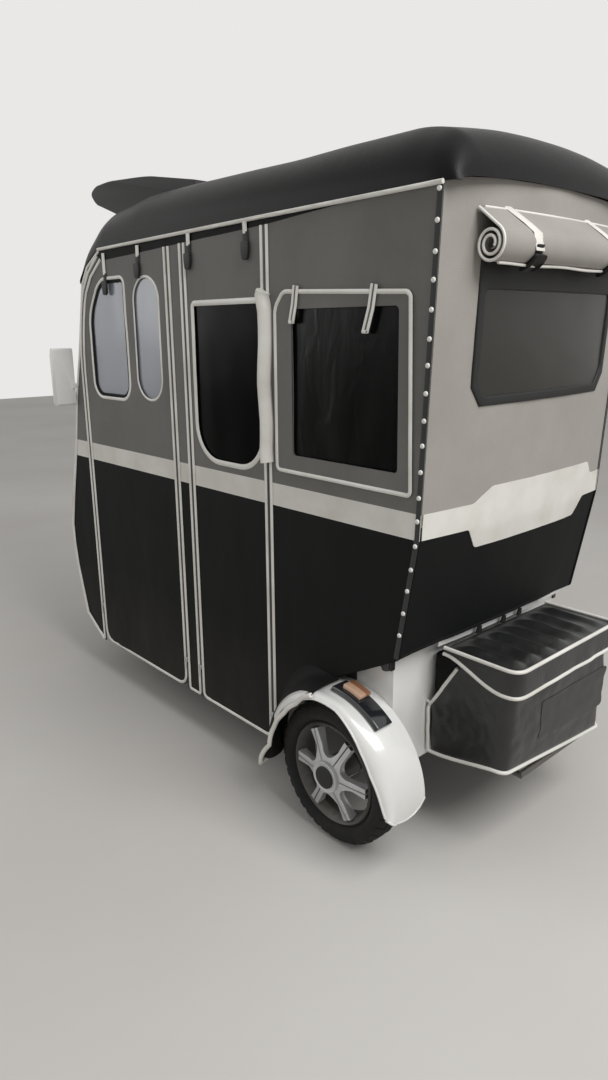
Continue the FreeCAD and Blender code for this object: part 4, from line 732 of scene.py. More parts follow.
# white binding tape, zips and straps of one side
binding = {
    "tape": 11.5, "proud": 3.6, "spread": 11.5, "teeth": 12, "hemUp": 6, "windowTape": 11, "ovalTape": 8,
    "doorWindowTape": 16, "edgeTape": 10, "lowEdgeTape": 17, "roofTape": 11, "corner": 15, "snapPitch": 59,
    "snap": 6.4, "snaps": 18, "snapTop": 1660,
    "pulls": ((rearZip, 236), (pillarRear, 262), (pillarFront, 262), (frontZip, 300)),
    "slider": [(-6, -9, 3), (6, -9, 3), (6, 9, 3), (-6, 9, 3)],
    "tab": [(-4, -38, 3), (4, -38, 3), (3, -6, 1), (-3, -6, 1)],
    "fold": [(311, 1026), (316, 1060), (313, 1140), (316, 1240), (312, 1340), (314, 1430), (322, 1470),
             (316, 1482)]}


def doorRun(low, high, easing, hem):
    # tape round the sides and the hem of a door
    inset = binding["spread"]
    return easedRun([(low + inset, roofShadeBandEdge(low)), (low + inset, hem, easing),
                     (high - inset, hem, easing), (high - inset, roofShadeBandEdge(high))])


def makeBinding():
    hem, inset, curve = cabin["doorHem"] + binding["hemUp"], binding["spread"], frontCurve[:-1]
    runs = [doorRun(rearZip, pillarRear, 24, hem), doorRun(pillarRear, pillarFront, 10, hem),
            easedRun([(pillarFront + inset, roofShadeBandEdge(800)), (pillarFront + inset, hem, 55),
                      (1391, hem, 55), (frontZip - inset, 1248)]) + shifted(curve, inset)[1:] + [(1210, 1620)],
            [(rearZip - inset, 150), (rearZip - inset, roofShadeBandEdge(rearZip))],
            [(frontZip + inset, 147), (frontZip + inset, 1248)] + shifted(curve, -inset)[1:] + [(1234, 1632)]]
    roofRun = [(-258, 1672), (rearZip, roofEdgeOver(rearZip)), (1219, 1652)]
    frontRun = shifted(frontEdge, -5)
    beltEnd = next(i for i, spot in enumerate(frontRun) if spot[1] < 970)
    rearDoor, frontDoor = (panels[name]["place"] for name in ("rearDoorCanvas", "frontDoorCanvas"))
    white = [
        sewnTape(runs, binding["tape"], binding["proud"], wallPlace),
        sewnTape([roofRun], binding["roofTape"], 5.5, wallAt(426)),
        sewnTape([frontRun[1:beltEnd + 1]], binding["edgeTape"], 4, wallPlace),
        sewnTape([frontRun[beltEnd:]], binding["lowEdgeTape"], 5, wallPlace),
        sewnTape([outlineOf(roundWindow)], binding["windowTape"], 3.2, frontDoor, True),
        sewnTape([outlineOf(ovalWindow)], binding["ovalTape"], 2.2, frontDoor, True),
        sewnTape([outlineOf(rearDoorWindow)], binding["doorWindowTape"], 3.0, rearDoor, True, 2),
        sewnTape([binding["fold"]], 36, 24, lambda along, up, out: wallPlace(
            along + 3 * math.sin(up / 47), up, 7 + out), False, 4)]
    bothSides("whiteBinding", together(white), [pipingVinyl], "canvas_grey", sharp=60)

    zips = [[(along, 152), (along, roofShadeBandEdge(along))] for along in (rearZip, pillarRear, pillarFront)]
    zips.append([(frontZip, hem)] + curve + [(1222, 1628)])
    bothSides("zipTeeth", sewnTape(zips, binding["teeth"], 1.6, wallPlace), [zipNylon], "trim_black", sharp=60)
    lining = sewnTape([shifted(outlineOf(roundWindow), -10, True)], 12, 2.2, wallAt(419), True)
    bothSides("blackWindowLining", lining, [canvasBlack], "trim_black", sharp=60)

    # zip pulls: a slider with a hanging tab
    pulls = []
    for along, up in binding["pulls"]:
        pull = together([prismOf(binding["slider"], 1, 6), prismOf(binding["tab"], 4, 6)])
        easeEdges(pull, sharpEdges(pull, 0.8), 0.8, 2)
        hang(pull, lambda across, height, out: wallPlace(along + across, up + height, out))
        pulls.append(pull)
    bothSides("zipPulls", together(pulls), [brightChrome], "chrome")
    print("binding and zips sewn")


def rearCorner(up):
    # where the rear wall meets the sides, ahead of the axle
    if up > cabin["beltLow"]:
        share = (up - cabin["beltLow"]) / (cabin["roofEdge"] - cabin["beltLow"])
        return cabin["rearBelt"] + share * (cabin["rearTop"] - cabin["rearBelt"])
    share = (up - cabin["rearHemHeight"]) / (cabin["beltLow"] - cabin["rearHemHeight"])
    return cabin["rearHem"] + share * (cabin["rearBelt"] - cabin["rearHem"])


def makeCornerBinding():
    # dark tape down the rear corner with a row of white snaps
    line = [(rearCorner(up) + 6, up) for up in range(586, 1669, 12)]
    tape = sewnTape([line], binding["corner"], 2.4, wallPlace)
    bothSides("cornerBinding", tape, [bindingCloth], "canvas_black", sharp=60)
    studs = []
    for i in range(binding["snaps"]):
        up = binding["snapTop"] - i * binding["snapPitch"] - (i % 3) * 1.5   # set by hand, not quite evenly
        stud = bmesh.new()
        bmesh.ops.create_cone(stud, cap_ends=True, segments=20, radius1=binding["snap"] / 1000,
                              radius2=binding["snap"] / 1350, depth=0.0042)
        easeEdges(stud, sharpEdges(stud, 0.7), 1.3, 3)
        hang(stud, lambda across, height, out: wallPlace(rearCorner(up) + 6 + across, up + height, out + 3.6))
        studs.append(stud)
    bothSides("cornerSnaps", together(studs), [studPlastic], "paint_white")


# left and right of the middle, and up, of the rear wall's pieces
rearWall = {
    # straps: across the wall, where the two black strips of painted strap shadow hang inside the window
    "half": 416.4, "depth": 2.4, "seamUp": 32, "clips": (118, 4, -78), "straps": (208, -172), "crownRise": 27,
    "hem": [(-300, 592), (-150, 596), (0, 598), (150, 597.5), (267, 595), (370, 588)],
    "flange": [(-396, 577), (264, 577), (264, 600), (-396, 600)],
    "window": [(-340, 1260), (-306, 1210), (252, 1206), (286, 1252), (286, 1582), (-340, 1582)],
    "glass": [(-318, 1276, 10), (-292, 1233, 10), (240, 1229, 10), (264, 1262, 10), (264, 1468, 14),
              (-318, 1468, 14)],
    "stripe": [(414, 904), (414, 968), (240, 968, 8), (167, 1005, 8), (-325, 1005, 8), (-353, 968, 8),
               (-414, 968), (-414, 904), (-318, 904, 8), (-280, 850, 8), (214, 850, 8), (249, 904, 8)]}


def rearBow(across):
    # how far the wall stands behind its corners
    return cabin["rearBulge"] * (1 - min(1, (across / rearWall["half"]) ** 2))


def rearPlace(across, up, out):
    edge = 1 - smoothStep(abs(across), 330, 410)
    fold = folds(across, up, 31.7, width=140, tall=200, depth=rearWall["depth"]) * edge
    return at(rearCorner(up) - rearBow(across) + 1.6 - out - fold, across, up)


def rearFlat(across, up, out):
    return at(rearCorner(up) - rearBow(across) - out, across, up)


def makeRearWall():
    half, hem, seam = rearWall["half"], rearWall["hem"], cabin["beltLow"] + rearWall["seamUp"]
    turns = [math.radians(a) for a in range(0, 181, 12)]
    crown = [(half * math.cos(turn), cabin["roofEdge"] + rearWall["crownRise"] * math.sin(turn)) for turn in turns]
    corners = [(half, cabin["rearHemHeight"])] + crown + [(-half, cabin["rearHemHeight"])] + hem
    bm = cutCloth(corners, [rearWall["window"]], lines=[(seam, 0)])
    hang(bm, rearPlace)
    for face in bm.faces:
        face.material_index = 0 if face.calc_center_median().z * 1000 > seam else 1
    wall = addPiece("rearCanvas", bm, [canvasWarm, canvasBlack], "canvas_grey", ["rear_panel"])

    bm = cutCloth(rearWall["stripe"], step=14, thick=1.6)
    hang(bm, lambda across, up, out: rearPlace(across, up, out + 2.2 + folds(across, up, 4.4, 60, 30, 0.9)))
    stripe = addPiece("rearStripe", bm, [stripeVinyl], "canvas_grey")
    seam = sewnTape([[(-half + 6, 587)] + shifted(hem, 5) + [(half - 6, 587)]], 8, 2.2, rearPlace)
    addPiece("rearHemTape", seam, [canvasBlack], "canvas_black", sharp=60)

    # the white shell's edge behind the hem, the clips on it, and two black strips inside the window, painted
    # shadows of the flap's tie straps
    bm = cutCloth(rearWall["flange"], step=20, thick=3)
    hang(bm, lambda across, up, out: rearFlat(across, up - 4 * abs(across) / 400, out - 9))
    addPiece("rearShellFlange", bm, [whitePaint], "paint_white", sharp=50)
    clips = together([prismOf([(middle - 11, 580, 3), (middle + 11, 580, 3), (middle + 6, 602, 3),
                               (middle - 6, 602, 3)], 1, 7) for middle in rearWall["clips"]])
    hang(clips, lambda across, up, out: rearFlat(across, up, out + 1))
    addPiece("rearHemClips", clips, [blackPlastic], "trim_black", sharp=50)
    # black canvas strips 16 mm inside the window: painted shadows of the tie straps, not straps of their own
    for side, middle in zip(("Left", "Right"), rearWall["straps"]):
        bm = sewnTape([[(middle, 1470), (middle - 4, 1340)]], 34, 3, lambda a, u, o: rearFlat(a, u, o - 16))
        addPiece("paintedStrapShadow" + side, bm, [canvasBlack], "canvas_grey", sharp=60)

    # black rubber moulding round the glass, then the clear film
    bm = cutCloth(rearWall["window"], [rearWall["glass"]], step=24, thick=9)
    bmesh.ops.dissolve_limit(bm, angle_limit=0.01, verts=bm.verts, edges=bm.edges)
    rim = [edge for edge in sharpEdges(bm, 0.7) if min(v.co.z for v in edge.verts) > -0.001]
    easeEdges(bm, rim, 4, 3)
    bmesh.ops.triangulate(bm, faces=bm.faces[:])
    for across in range(-320, 281, 40):
        bmesh.ops.bisect_plane(bm, geom=everyPart(bm), plane_co=(across / 1000, 0, 0), plane_no=(1, 0, 0))
    hang(bm, lambda across, up, out: rearFlat(across, up, out + 3.5))
    addPiece("rearWindowMoulding", bm, [blackPlastic], "trim_black", ["rear_window_frame"])
    glass = [(corner[0] + math.copysign(6, corner[0]), corner[1] + math.copysign(6, corner[1] - 1350), 10)
             for corner in rearWall["glass"]]
    bm = cutCloth(glass, step=20, thick=1.4)
    hang(bm, lambda across, up, out: rearFlat(across, up, out - 1.5 + folds(across, up, 8.8, 150, 120, 1.2)))
    film = addPiece("rearWindowFilm", bm, [rearFilm], "window_film", ["rear_window_pane"])
    print("rear wall hung")


# rolled-up rear flap: the roll's middle stands off the wall and the flap's top hem is sewn above it
roll = {"up": 1558, "radius": 38, "core": 11, "turns": 2.35, "rise": 75, "low": -345, "high": 312,
        "squash": 1.08, "start": math.radians(52), "off": 39, "straps": (206, -138), "piping": 3.4,
        "buckle": [(-20, 96, 4), (20, 96, 4), (20, 130, 4), (-20, 130, 4)]}


def onRoll(angle, radius):
    return Vector((math.cos(angle), math.sin(angle) * roll["squash"])) * radius


def rollProfile(share):
    # out from the roll's middle, and up, along the flap from its hem to its core
    outer = roll["radius"] - 1.5
    first, arrive = Vector((-34, roll["rise"])), onRoll(roll["start"], outer)
    hemLength = (arrive - first).length
    turned = roll["turns"] * 2 * math.pi
    rolledLength = turned * (roll["radius"] + roll["core"]) / 2
    place = share * (hemLength + rolledLength)
    if place < hemLength:
        return first.lerp(arrive, place / hemLength)
    done = (place - hemLength) / rolledLength
    angle, radius = roll["start"] - turned * done, outer + (roll["core"] - roll["radius"]) * done
    return Vector((math.cos(angle) * radius, math.sin(angle) * radius * roll["squash"]))


def rollPlace(across, out, up):
    return at(rearCorner(roll["up"]) - rearBow(across) - roll["off"] - out, across, roll["up"] + up)


def strapPlace(middle):
    # a strap that slants round the roll, from the hem above it
    def place(across, along, out):
        share = along / 150
        radius = roll["radius"] + 2.5 + out
        if share < 0.4:
            spot = Vector((-33, roll["rise"] + 4 + out)).lerp(onRoll(roll["start"], radius), share / 0.4)
        else:
            spot = onRoll(math.radians(52 - 190 * (share - 0.4) / 0.6), radius)
        return rollPlace(middle - 26 * share + across, spot.x, spot.y)
    return place


def makeFlapRoll():
    low, high = roll["low"], roll["high"]
    spots = [rollProfile(i / 200) for i in range(201)]
    wide, long = (high - low) / 1000, sum((b - a).length for a, b in zip(spots, spots[1:])) / 1000

    def place(x, y):
        across = low + (x + 0.5) * wide * 1000
        sag = 1.6 * noiseAt(across / 70, (0.5 - y) * 9, 2.2)
        spot = rollProfile(0.5 - y) * (1 + sag / 38)
        return rollPlace(across, spot.x, spot.y)
    bm = layGrid(44, 150, place)
    giveWall(bm, 2.2)
    flap = addPiece("rearFlap", bm, [canvasWarm], "canvas_grey", ["rear_flap_roll"])

    edges = [[rollPlace(across, *rollProfile(i / 110)) for i in range(106)] for across in (low, high)]
    edges.append([rollPlace(y, -34, roll["rise"] + 2) for y in range(low, high + 1, 20)])
    under, outer = math.radians(-72), roll["radius"] + 1
    edges.append([rollPlace(y, math.cos(under) * outer,
                            math.sin(under) * outer * roll["squash"] + 1.2 * math.sin(y / 37))
                  for y in range(low, high + 1, 14)])
    tubeRuns("rearFlapPiping", edges, roll["piping"], pipingVinyl, "canvas_grey")

    # two slanting straps: white above, black webbing and a buckle below
    white, black = [], []
    for middle in roll["straps"]:
        white.append(sewnTape([[(0, -6), (0, 92)]], 32, 2.6, strapPlace(middle)))
        black.append(sewnTape([[(0, 84), (0, 150)]], 28, 2.6, strapPlace(middle)))
        buckle = prismOf(roll["buckle"], 1, 8)
        bmesh.ops.subdivide_edges(buckle, edges=[e for e in buckle.edges if e.calc_length() > 0.02], cuts=4)
        hang(buckle, strapPlace(middle))
        black.append(buckle)
    addPiece("flapStraps", together(white), [pipingVinyl], "canvas_grey", sharp=60)
    addPiece("flapBuckles", together(black), [blackPlastic], "trim_black", sharp=45)
    print("flap rolled")


# roof rows: ahead of the axle, narrower by, bow ahead, edge, shoulder and crown heights
roof = {
    "half": 427, "shoulder": 343, "thick": 3,
    "rows": [(-288, 24, 0, 1674, 1689, 1699), (-276, 8, 0, 1674, 1737, 1757), (-233, 0, 0, 1673.4, 1787, 1809),
             (-148, 0, 0, 1672, 1805, 1831), (999, 0, 0, 1656.6, 1805, 1827), (1219, 0, 0, 1653.6, 1775, 1797),
             (1314, 0, 4, 1607, 1701, 1719), (1378, 0, 12, 1550, 1572, 1588), (1366, 6, 30, 1540, 1543, 1545)],
    "ease": 26, "sag": 4, "crownShare": 0.62, "hoops": (-118, 750)}


def roofRow(reach):
    # the row at a distance along the crown, eased where the cover bends
    rows = [Vector(row) for row in roof["rows"]]
    lengths = [0]
    for first, last in zip(rows, rows[1:]):
        lengths.append(lengths[-1] + math.dist((first[0], first[5]), (last[0], last[5])))

    def plain(place):
        place = max(0, min(lengths[-1], place))
        for i in range(len(rows) - 1):
            if place <= lengths[i + 1]:
                return rows[i].lerp(rows[i + 1], (place - lengths[i]) / (lengths[i + 1] - lengths[i]))
        return rows[-1]
    place = reach * lengths[-1]
    ease = min(roof["ease"], place, lengths[-1] - place)
    taken = [plain(place + ease * step) for step in (-1, -0.5, 0, 0.5, 1)]
    return sum(taken, Vector([0] * 6)) / 5


def roofPlace(reach, across):
    along, slim, bow, edge, shoulder, crown = roofRow(reach)
    half, side, turn = roof["half"] - slim, roof["shoulder"] - slim, roof["crownShare"]
    if abs(across) < turn:
        y = across / turn * side
        up = crown - (crown - shoulder) * (y / side) ** 2
    else:
        t = (abs(across) - turn) / (1 - turn)
        bend = (half * 0.72 + side * 0.28, edge * 0.42 + shoulder * 0.58)
        pull = (2 * bend[0] - (half + side) / 2, 2 * bend[1] - (edge + shoulder) / 2)
        y = (1 - t) ** 2 * side + 2 * t * (1 - t) * pull[0] + t * t * half
        up = (1 - t) ** 2 * shoulder + 2 * t * (1 - t) * pull[1] + t * t * edge
        y = math.copysign(y, across)
    inside = smoothStep(reach, 0.1, 0.2) * (1 - smoothStep(reach, 0.72, 0.8)) * (
        1 - smoothStep(abs(across), 0.5, 0.9))
    first, second = roof["hoops"]
    hoop = 0.5 - 0.5 * math.cos((along - first) / (second - first) * 2 * math.pi)   # it sags between the hoops
    up -= roof["sag"] * inside * hoop
    up += 1.3 * noiseAt(along / 180, y / 120, 5.1)
    return at(along + bow * (1 - (y / half) ** 2), y, up)


def makeRoof():
    bm = layGrid(110, 64, lambda x, y: roofPlace(x + 0.5, y * 2))
    giveWall(bm, roof["thick"], lambda faces: sum(face.normal.z * face.calc_area() for face in faces) < 0)
    cover = addPiece("roofCover", bm, [roofCloth], "roof_vinyl", ["roof_cover"], sharp=50)
    print("roof cover laid")


def flarePlace(share, angle):
    # a place on the flare: from the wall (0) to the lip (1), at an angle up from straight ahead
    reach = share * (len(arch["low"]) - 1)
    first = min(int(reach), len(arch["low"]) - 2)
    low, high = ([table[first][i] + (table[first + 1][i] - table[first][i]) * (reach - first) for i in (0, 1)]
                 for table in (arch["low"], arch["high"]))
    top = smoothStep(angle, 52, arch["top"])
    side, radius = low[0] + (high[0] - low[0]) * top, low[1] + (high[1] - low[1]) * top
    radius += (between(arch["lip"], angle) - (208 + 37 * top)) * smoothStep(side, 478, 531)
    radius += 1.8 * share * noiseAt(math.radians(angle) * 5, share, 1.7)
    return aroundAxle(radius, side, angle)


def makeFlare():
    # the quarter panel's hem flares out over the front of the mudguard
    low, sweep = arch["front"], arch["top"] - arch["front"]

    def inward(faces):
        face = faces[len(faces) // 2 - 1]
        return face.normal.dot(face.calc_center_median() - at(0, cabin["side"], axleUp)) < 0
    bm = layGrid(44, 14, lambda x, y: flarePlace(y + 0.5, low + sweep * (x + 0.5)))
    giveWall(bm, 2.2, inward)
    pieces = bothSides("quarterFlare", bm, [canvasBlack], "canvas_grey")
    lip = [at(285, 428, 133), at(272, 480, 138)] + [flarePlace(1, low + sweep * i / 32) for i in range(33)]
    tubesBothSides("archPiping", [lip], arch["piping"], pipingVinyl, "canvas_grey")
    print("arch flares sewn")


# clear films behind the window openings: outline, finish and waviness; the door and quarter finishes are near
# black as painted shade of the cabin behind them, the front door's light grey as painted light of the backdrop
# seen through the cabin
films = {
    "rearDoorFilm": ([(331, 984, 60), (331, 1470, 10), (677, 1470, 10), (677, 984, 60)], doorFilm, 0.8),
    "frontDoorFilm": ([(834, 1130, 20), (834, 1572, 20), (1252, 1572, 20), (1342, 1448, 20), (1342, 1130, 20)],
                      brightFilm, 0.8),
    "quarterFilm": ([(-178, 1042, 10), (-170, 1450, 10), (230, 1450, 10), (230, 1042, 10)], wavyFilm, 1.8)}
filmSide = 416.6


def makeFilms():
    for number, (name, (corners, finish, waves)) in enumerate(films.items()):
        bm = cutCloth(corners, step=20, thick=1.2)
        hang(bm, lambda along, up, out: at(
            along, filmSide + out + waves * noiseAt(along / 70, up / 150, number * 5.3), up))
        wide, tall = spanOf(outlineOf(corners))
        for piece in bothSides(name, bm, [finish], "window_film", [["side_window_films"]] * 2):
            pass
    print("films hung")


# outer flap with the quarter window, its tape and its two hanging strap loops
flap = {
    "outline": [(-203, 1005, 16), (-186, 1466, 18), (246, 1482, 14), (282, 1440, 20), (282, 1007, 16)],
    "straps": [((190, 1490), (208, 1402)), ((-78, 1482), (-52, 1378))],
    "apart": 6.5, "side": 426.8, "strapSide": 431, "wide": 0.485, "tall": 0.477}


def makeQuarterFlap():
    def place(along, up, out):
        loose = 0.4 + 0.9 * (1 - smoothStep(up, 1010, 1120))
        return at(along, flap["side"] + out + loose * folds(along, up, 17.2, 80, 90, 1.1), up)
    bm = cutCloth(flap["outline"], [quarterWindow], step=14, thick=1.8)
    hang(bm, place)
    wide, tall, strapSide = flap["wide"], flap["tall"], flap["strapSide"]
    for piece in bothSides("quarterFlap", bm, [canvasGrey], "canvas_grey", [["quarter_window_flaps"]] * 2):
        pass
    tapes, middles = [sewnTape([shifted(outlineOf(flap["outline"]), -4, True)], 11, 4, place, True)], []
    for top, bottom in flap["straps"]:
        line = [top, (top[0] + (bottom[0] - top[0]) * 0.35, top[1] + (bottom[1] - top[1]) * 0.5), bottom]
        for by in (-flap["apart"], flap["apart"]):
            tapes.append(sewnTape([shifted(line, by)], 8.5, 3.5, wallAt(strapSide)))
        foot = [(bottom[0] - 9, bottom[1]), (bottom[0] + 9, bottom[1])]
        tapes.append(sewnTape([foot], 9, 3.5, wallAt(strapSide)))
        middles.append(sewnTape([line], 8, 2.2, wallAt(strapSide - 0.5)))
    bothSides("quarterFlapTape", together(tapes), [pipingVinyl], "canvas_grey", sharp=60)
    bothSides("flapStrapMiddles", together(middles), [canvasGrey], "canvas_grey", sharp=60)
    print("quarter flaps hung")


def nodeCopy(node):
    # a copy of the node's mesh, its loose triangles joined
    bm = bmesh.new()
    bm.from_mesh(frame["nodes"][node].data)
    bmesh.ops.remove_doubles(bm, verts=bm.verts, dist=0.00002)
    return bm


def makeSurround():
    # the cloth round the windscreen, one layer cut to the solid's front face
    bm = nodeCopy("windscreen_surround")
    bm.normal_update()
    bmesh.ops.delete(bm, geom=[face for face in bm.faces if face.normal.x < 0.3], context="FACES")
    for length in (0.16, 0.08, 0.045):
        bmesh.ops.triangulate(bm, faces=bm.faces[:])
        bmesh.ops.subdivide_edges(bm, edges=[edge for edge in bm.edges if edge.calc_length() > length], cuts=1)
    bmesh.ops.triangulate(bm, faces=bm.faces[:])
    for vert in bm.verts:
        vert.co.x += 0.0022 * noiseAt(vert.co.y * 9, vert.co.z * 6, 2.2)
    bmesh.ops.solidify(bm, geom=bm.faces[:], thickness=0.0024)
    piece = addPiece("windscreenSurround", bm, [canvasBlack], "canvas_black", ["windscreen_surround"], 50)
    print("windscreen surround hung")


# rolled-up doors are tied here: place, lean and drop of each white loop, and the black clip that hangs from it
doorLoops = {"loops": ((398, -4, 26), (667, 3, 26), (957, 5, 26), (1185, -3, 62)), "side": 426.5,
             "clip": [(-15, 0, 4), (15, 0, 4), (16, -22, 4), (11, -46, 5), (-11, -46, 5), (-16, -22, 4)]}


def makeDoorLoops():
    wall, white, black = wallAt(doorLoops["side"]), [], []
    for along, lean, drop in doorLoops["loops"]:
        top, foot = roofShadeBandEdge(along) + 14, along + lean * 0.3
        white.append(sewnTape([[(along, top + 8), (foot, top - drop)]], 19, 3.5, wall))
        black.append(sewnTape([[(foot, top + 4 - drop), (along + lean, top - 24 - drop)]], 22, 3, wall))
        clip = prismOf(doorLoops["clip"], 1, 9)
        easeEdges(clip, sharpEdges(clip, 0.7), 1.6, 2)
        hang(clip, lambda across, up, out: at(along + lean + across, 424.8 + out, top - 20 - drop + up))
        black.append(clip)
    bothSides("doorLoops", together(white), [pipingVinyl], "canvas_grey", sharp=60)
    bothSides("doorBuckles", together(black), [blackPlastic], "trim_black", sharp=45)
    print("door loops sewn")


nodeBody = {node: body for body, nodes in frame["record"]["behaviour"]["bodies"].items() for node in nodes}
nodeSlot = {entry["node"]: entry["material_slot"] for entry in frame["record"]["subparts"]}


def easedNode(node, ease, steps):
    # the node's mesh with its edges rounded, as a casting or pressing has
    bm = nodeCopy(node)
    bmesh.ops.dissolve_limit(bm, angle_limit=math.radians(1), verts=bm.verts, edges=bm.edges)
    rims = [edge for edge in bm.edges if edge.is_manifold and edge.calc_face_angle(0) > math.radians(30)]
    easeEdges(bm, rims, ease, steps, True)
    for face in bm.faces:
        face.material_index = 0
    return bm


# sun visor on the roof: side outline, ahead of the axle and up, with the rounding of each corner
visor = {
    "side": 300, "ease": 20,
    "outline": [(820, 1791, 3), (820, 1835, 14), (1120, 1893, 70), (1380, 1919, 60), (1520, 1923, 24),
                (1565, 1901, 20), (1523, 1860, 24), (1406, 1828, 40), (1331, 1808, 30), (1215, 1771, 20)]}


def makeVisor():
    bm = prismOf(visor["outline"], -visor["side"], visor["side"])
    easeEdges(bm, sharpEdges(bm, 1.2), visor["ease"], 5, True)
    long = [edge for edge in bm.edges if abs(edge.verts[0].co.z - edge.verts[1].co.z) > 0.4]
    bmesh.ops.subdivide_edges(bm, edges=long, cuts=9, use_grid_fill=True)

    def place(along, up, side):
        slim = 1 - 0.14 * smoothStep(along, 1250, 1565) - 0.05 * (1 - smoothStep(along, 820, 1100))
        dip = 16 * (side / visor["side"]) ** 2 * smoothStep(along, 900, 1300)
        return at(along, side * slim, up - dip)
    hang(bm, place)
    addPiece("sunVisor", bm, [visorPlastic], "visor_plastic", ["roof_visor"], sharp=50)
    print("visor moulded")


# wheels: body, first part of the nodes' names, and place of the middle
wheels = {
    "rearLeft": ("rear_wheel_left", "rear_left", 0, 450),
    "rearRight": ("rear_wheel_right", "rear_right", 0, -450),
    "front": ("front_wheel", "front", 1790, 0)}
tyre = {"radius": 205, "steps": 108, "section": [
    (19.5, 136.8), (32, 151.5), (41, 158), (45.5, 166), (45.8, 173), (44, 183), (40.5, 190), (34, 196.5),
    (26, 201.5), (20, 203.3), (18, 199), (15, 199), (13, 204.2), (8, 204.9), (3, 205), (1.5, 200.2),
    (-1.5, 200.2)]}
# how far the hub's face stands out from the wheel's middle, and the pieces on it: radius, inner and outer side
# from that face, finish, and how far each inset ring is lifted
hubSides = {"rear": 60, "front": 38}
hubs = {"HubRing": (45, -6, 2.5, wheelAlloy, (-0.5, -4)), "HubCap": (32, -2, 5, blackPlastic, (1.2, 0.8))}


def makeWheel(label, body, node, along, side):
    hubSide = 1 if side >= 0 else -1
    middle = at(along, side, tyre["radius"])

    def reach(spot):
        return math.hypot(spot.x - middle.x, spot.z - middle.z) * 1000

    def outward(spot):
        return (spot.y - middle.y) * 1000 * hubSide

    # cast rim: turned outside, dark barrel; the spokes fall back towards the rim and rise to the hub
    bm = easedNode(node + "_rim", 1.6, 2)
    for face in bm.faces:
        spot = face.calc_center_median()
        face.material_index = 1 if reach(spot) > 124 or outward(spot) < 16 else 0
    bmesh.ops.triangulate(bm, faces=[face for face in bm.faces if len(face.verts) > 4])
    for vert in bm.verts:
        far = reach(vert.co)
        if side and 18 < outward(vert.co) < 50 and far < 128:
            vert.co += Vector((0, hubSide * (12 - 22 * smoothStep(far, 45, 128)) / 1000, 0))
    rim = node + "_rim"
    addPiece(rim + "_eased", bm, [wheelAlloy, wheelDark], nodeSlot[rim], [rim], 35, body)

    out = hubSides["rear" if side else "front"]
    for name, (radius, inner, outer, finish, lifts) in hubs.items():
        low, high = out + inner, out + outer
        bm = bmesh.new()
        bmesh.ops.create_cone(bm, cap_ends=True, segments=64, radius1=radius / 1000,
                              radius2=(radius - 1) / 1000, depth=(high - low) / 1000)
        face = max(bm.faces, key=lambda item: item.calc_center_median().z if len(item.verts) > 4 else -1)
        for inset, lift in zip((5, 6), lifts):
            bmesh.ops.inset_region(bm, faces=[face], thickness=inset / 1000, depth=lift / 1000)
        easeEdges(bm, sharpEdges(bm, 0.6), 1.2, 3, True)
        place = Matrix.Translation(middle + Vector((0, hubSide * (low + high) / 2000, 0)))
        turn = Matrix.Rotation(-hubSide * math.pi / 2, 4, "X")
        bmesh.ops.transform(bm, matrix=place @ turn, verts=bm.verts)
        addPiece(label + name, bm, [finish], "cast_alloy", sharp=35, body=body)

    # tyre: its section spun round, then tread blocks raised between narrow grooves
    bm = bmesh.new()
    half = tyre["section"]
    spots = half + [(-y, r) for y, r in half[::-1][2:]]
    ring = [bm.verts.new(middle + Vector((r / 1000, y / 1000, 0))) for y, r in spots]
    chain = [bm.edges.new(pair) for pair in zip(ring, ring[1:] + ring[:1])]
    bmesh.ops.spin(bm, geom=ring + chain, cent=middle, axis=(0, 1, 0), angle=2 * math.pi, steps=tyre["steps"],
                   use_merge=True)
    bmesh.ops.remove_doubles(bm, verts=bm.verts, dist=0.00001)
    bmesh.ops.recalc_face_normals(bm, faces=bm.faces)

    def step(spot):
        return int((math.atan2(spot.z, spot.x) + math.pi) / (2 * math.pi) * tyre["steps"] + 0.25)
    blocks = []
    for face in bm.faces:
        spot = face.calc_center_median()
        if 189 < reach(spot) < 203 and step(spot - middle) % 3 and abs(spot.y - middle.y) > 0.021:
            blocks.append(face)
    bmesh.ops.inset_region(bm, faces=blocks, thickness=0.0012, depth=0.0022)
    addPiece(label + "Tyre", bm, [rubber], "tyre_rubber", [node + "_tyre"], 30, body)
    print(label, "wheel made")


# rear mudguards: section, side and radius about the axle
guard = {"low": 30, "high": 186, "wall": 2.6,
         "lip": [(30, 213), (70, 225), (85, 237), (105, 242), (118, 230), (135, 215), (152, 211), (173, 229),
                 (186, 243)],
         "section": [(388.6, 250), (408, 250.5), (430, 250.6), (455, 250.3), (476, 248.6), (494, 244.5),
                     (508, 238.6), (519, 231), (526, 222.5), (530, 213)]}


def guardPlace(side, radius, angle):
    radius += (between(guard["lip"], angle) - 213) * smoothStep(side, 484, 532)
    tip = max(0.0, (angle - 160) / (guard["high"] - 160))
    return aroundAxle(radius, side, angle - 7 * tip ** 3 * (abs(side - 462) / 70) ** 2.6)


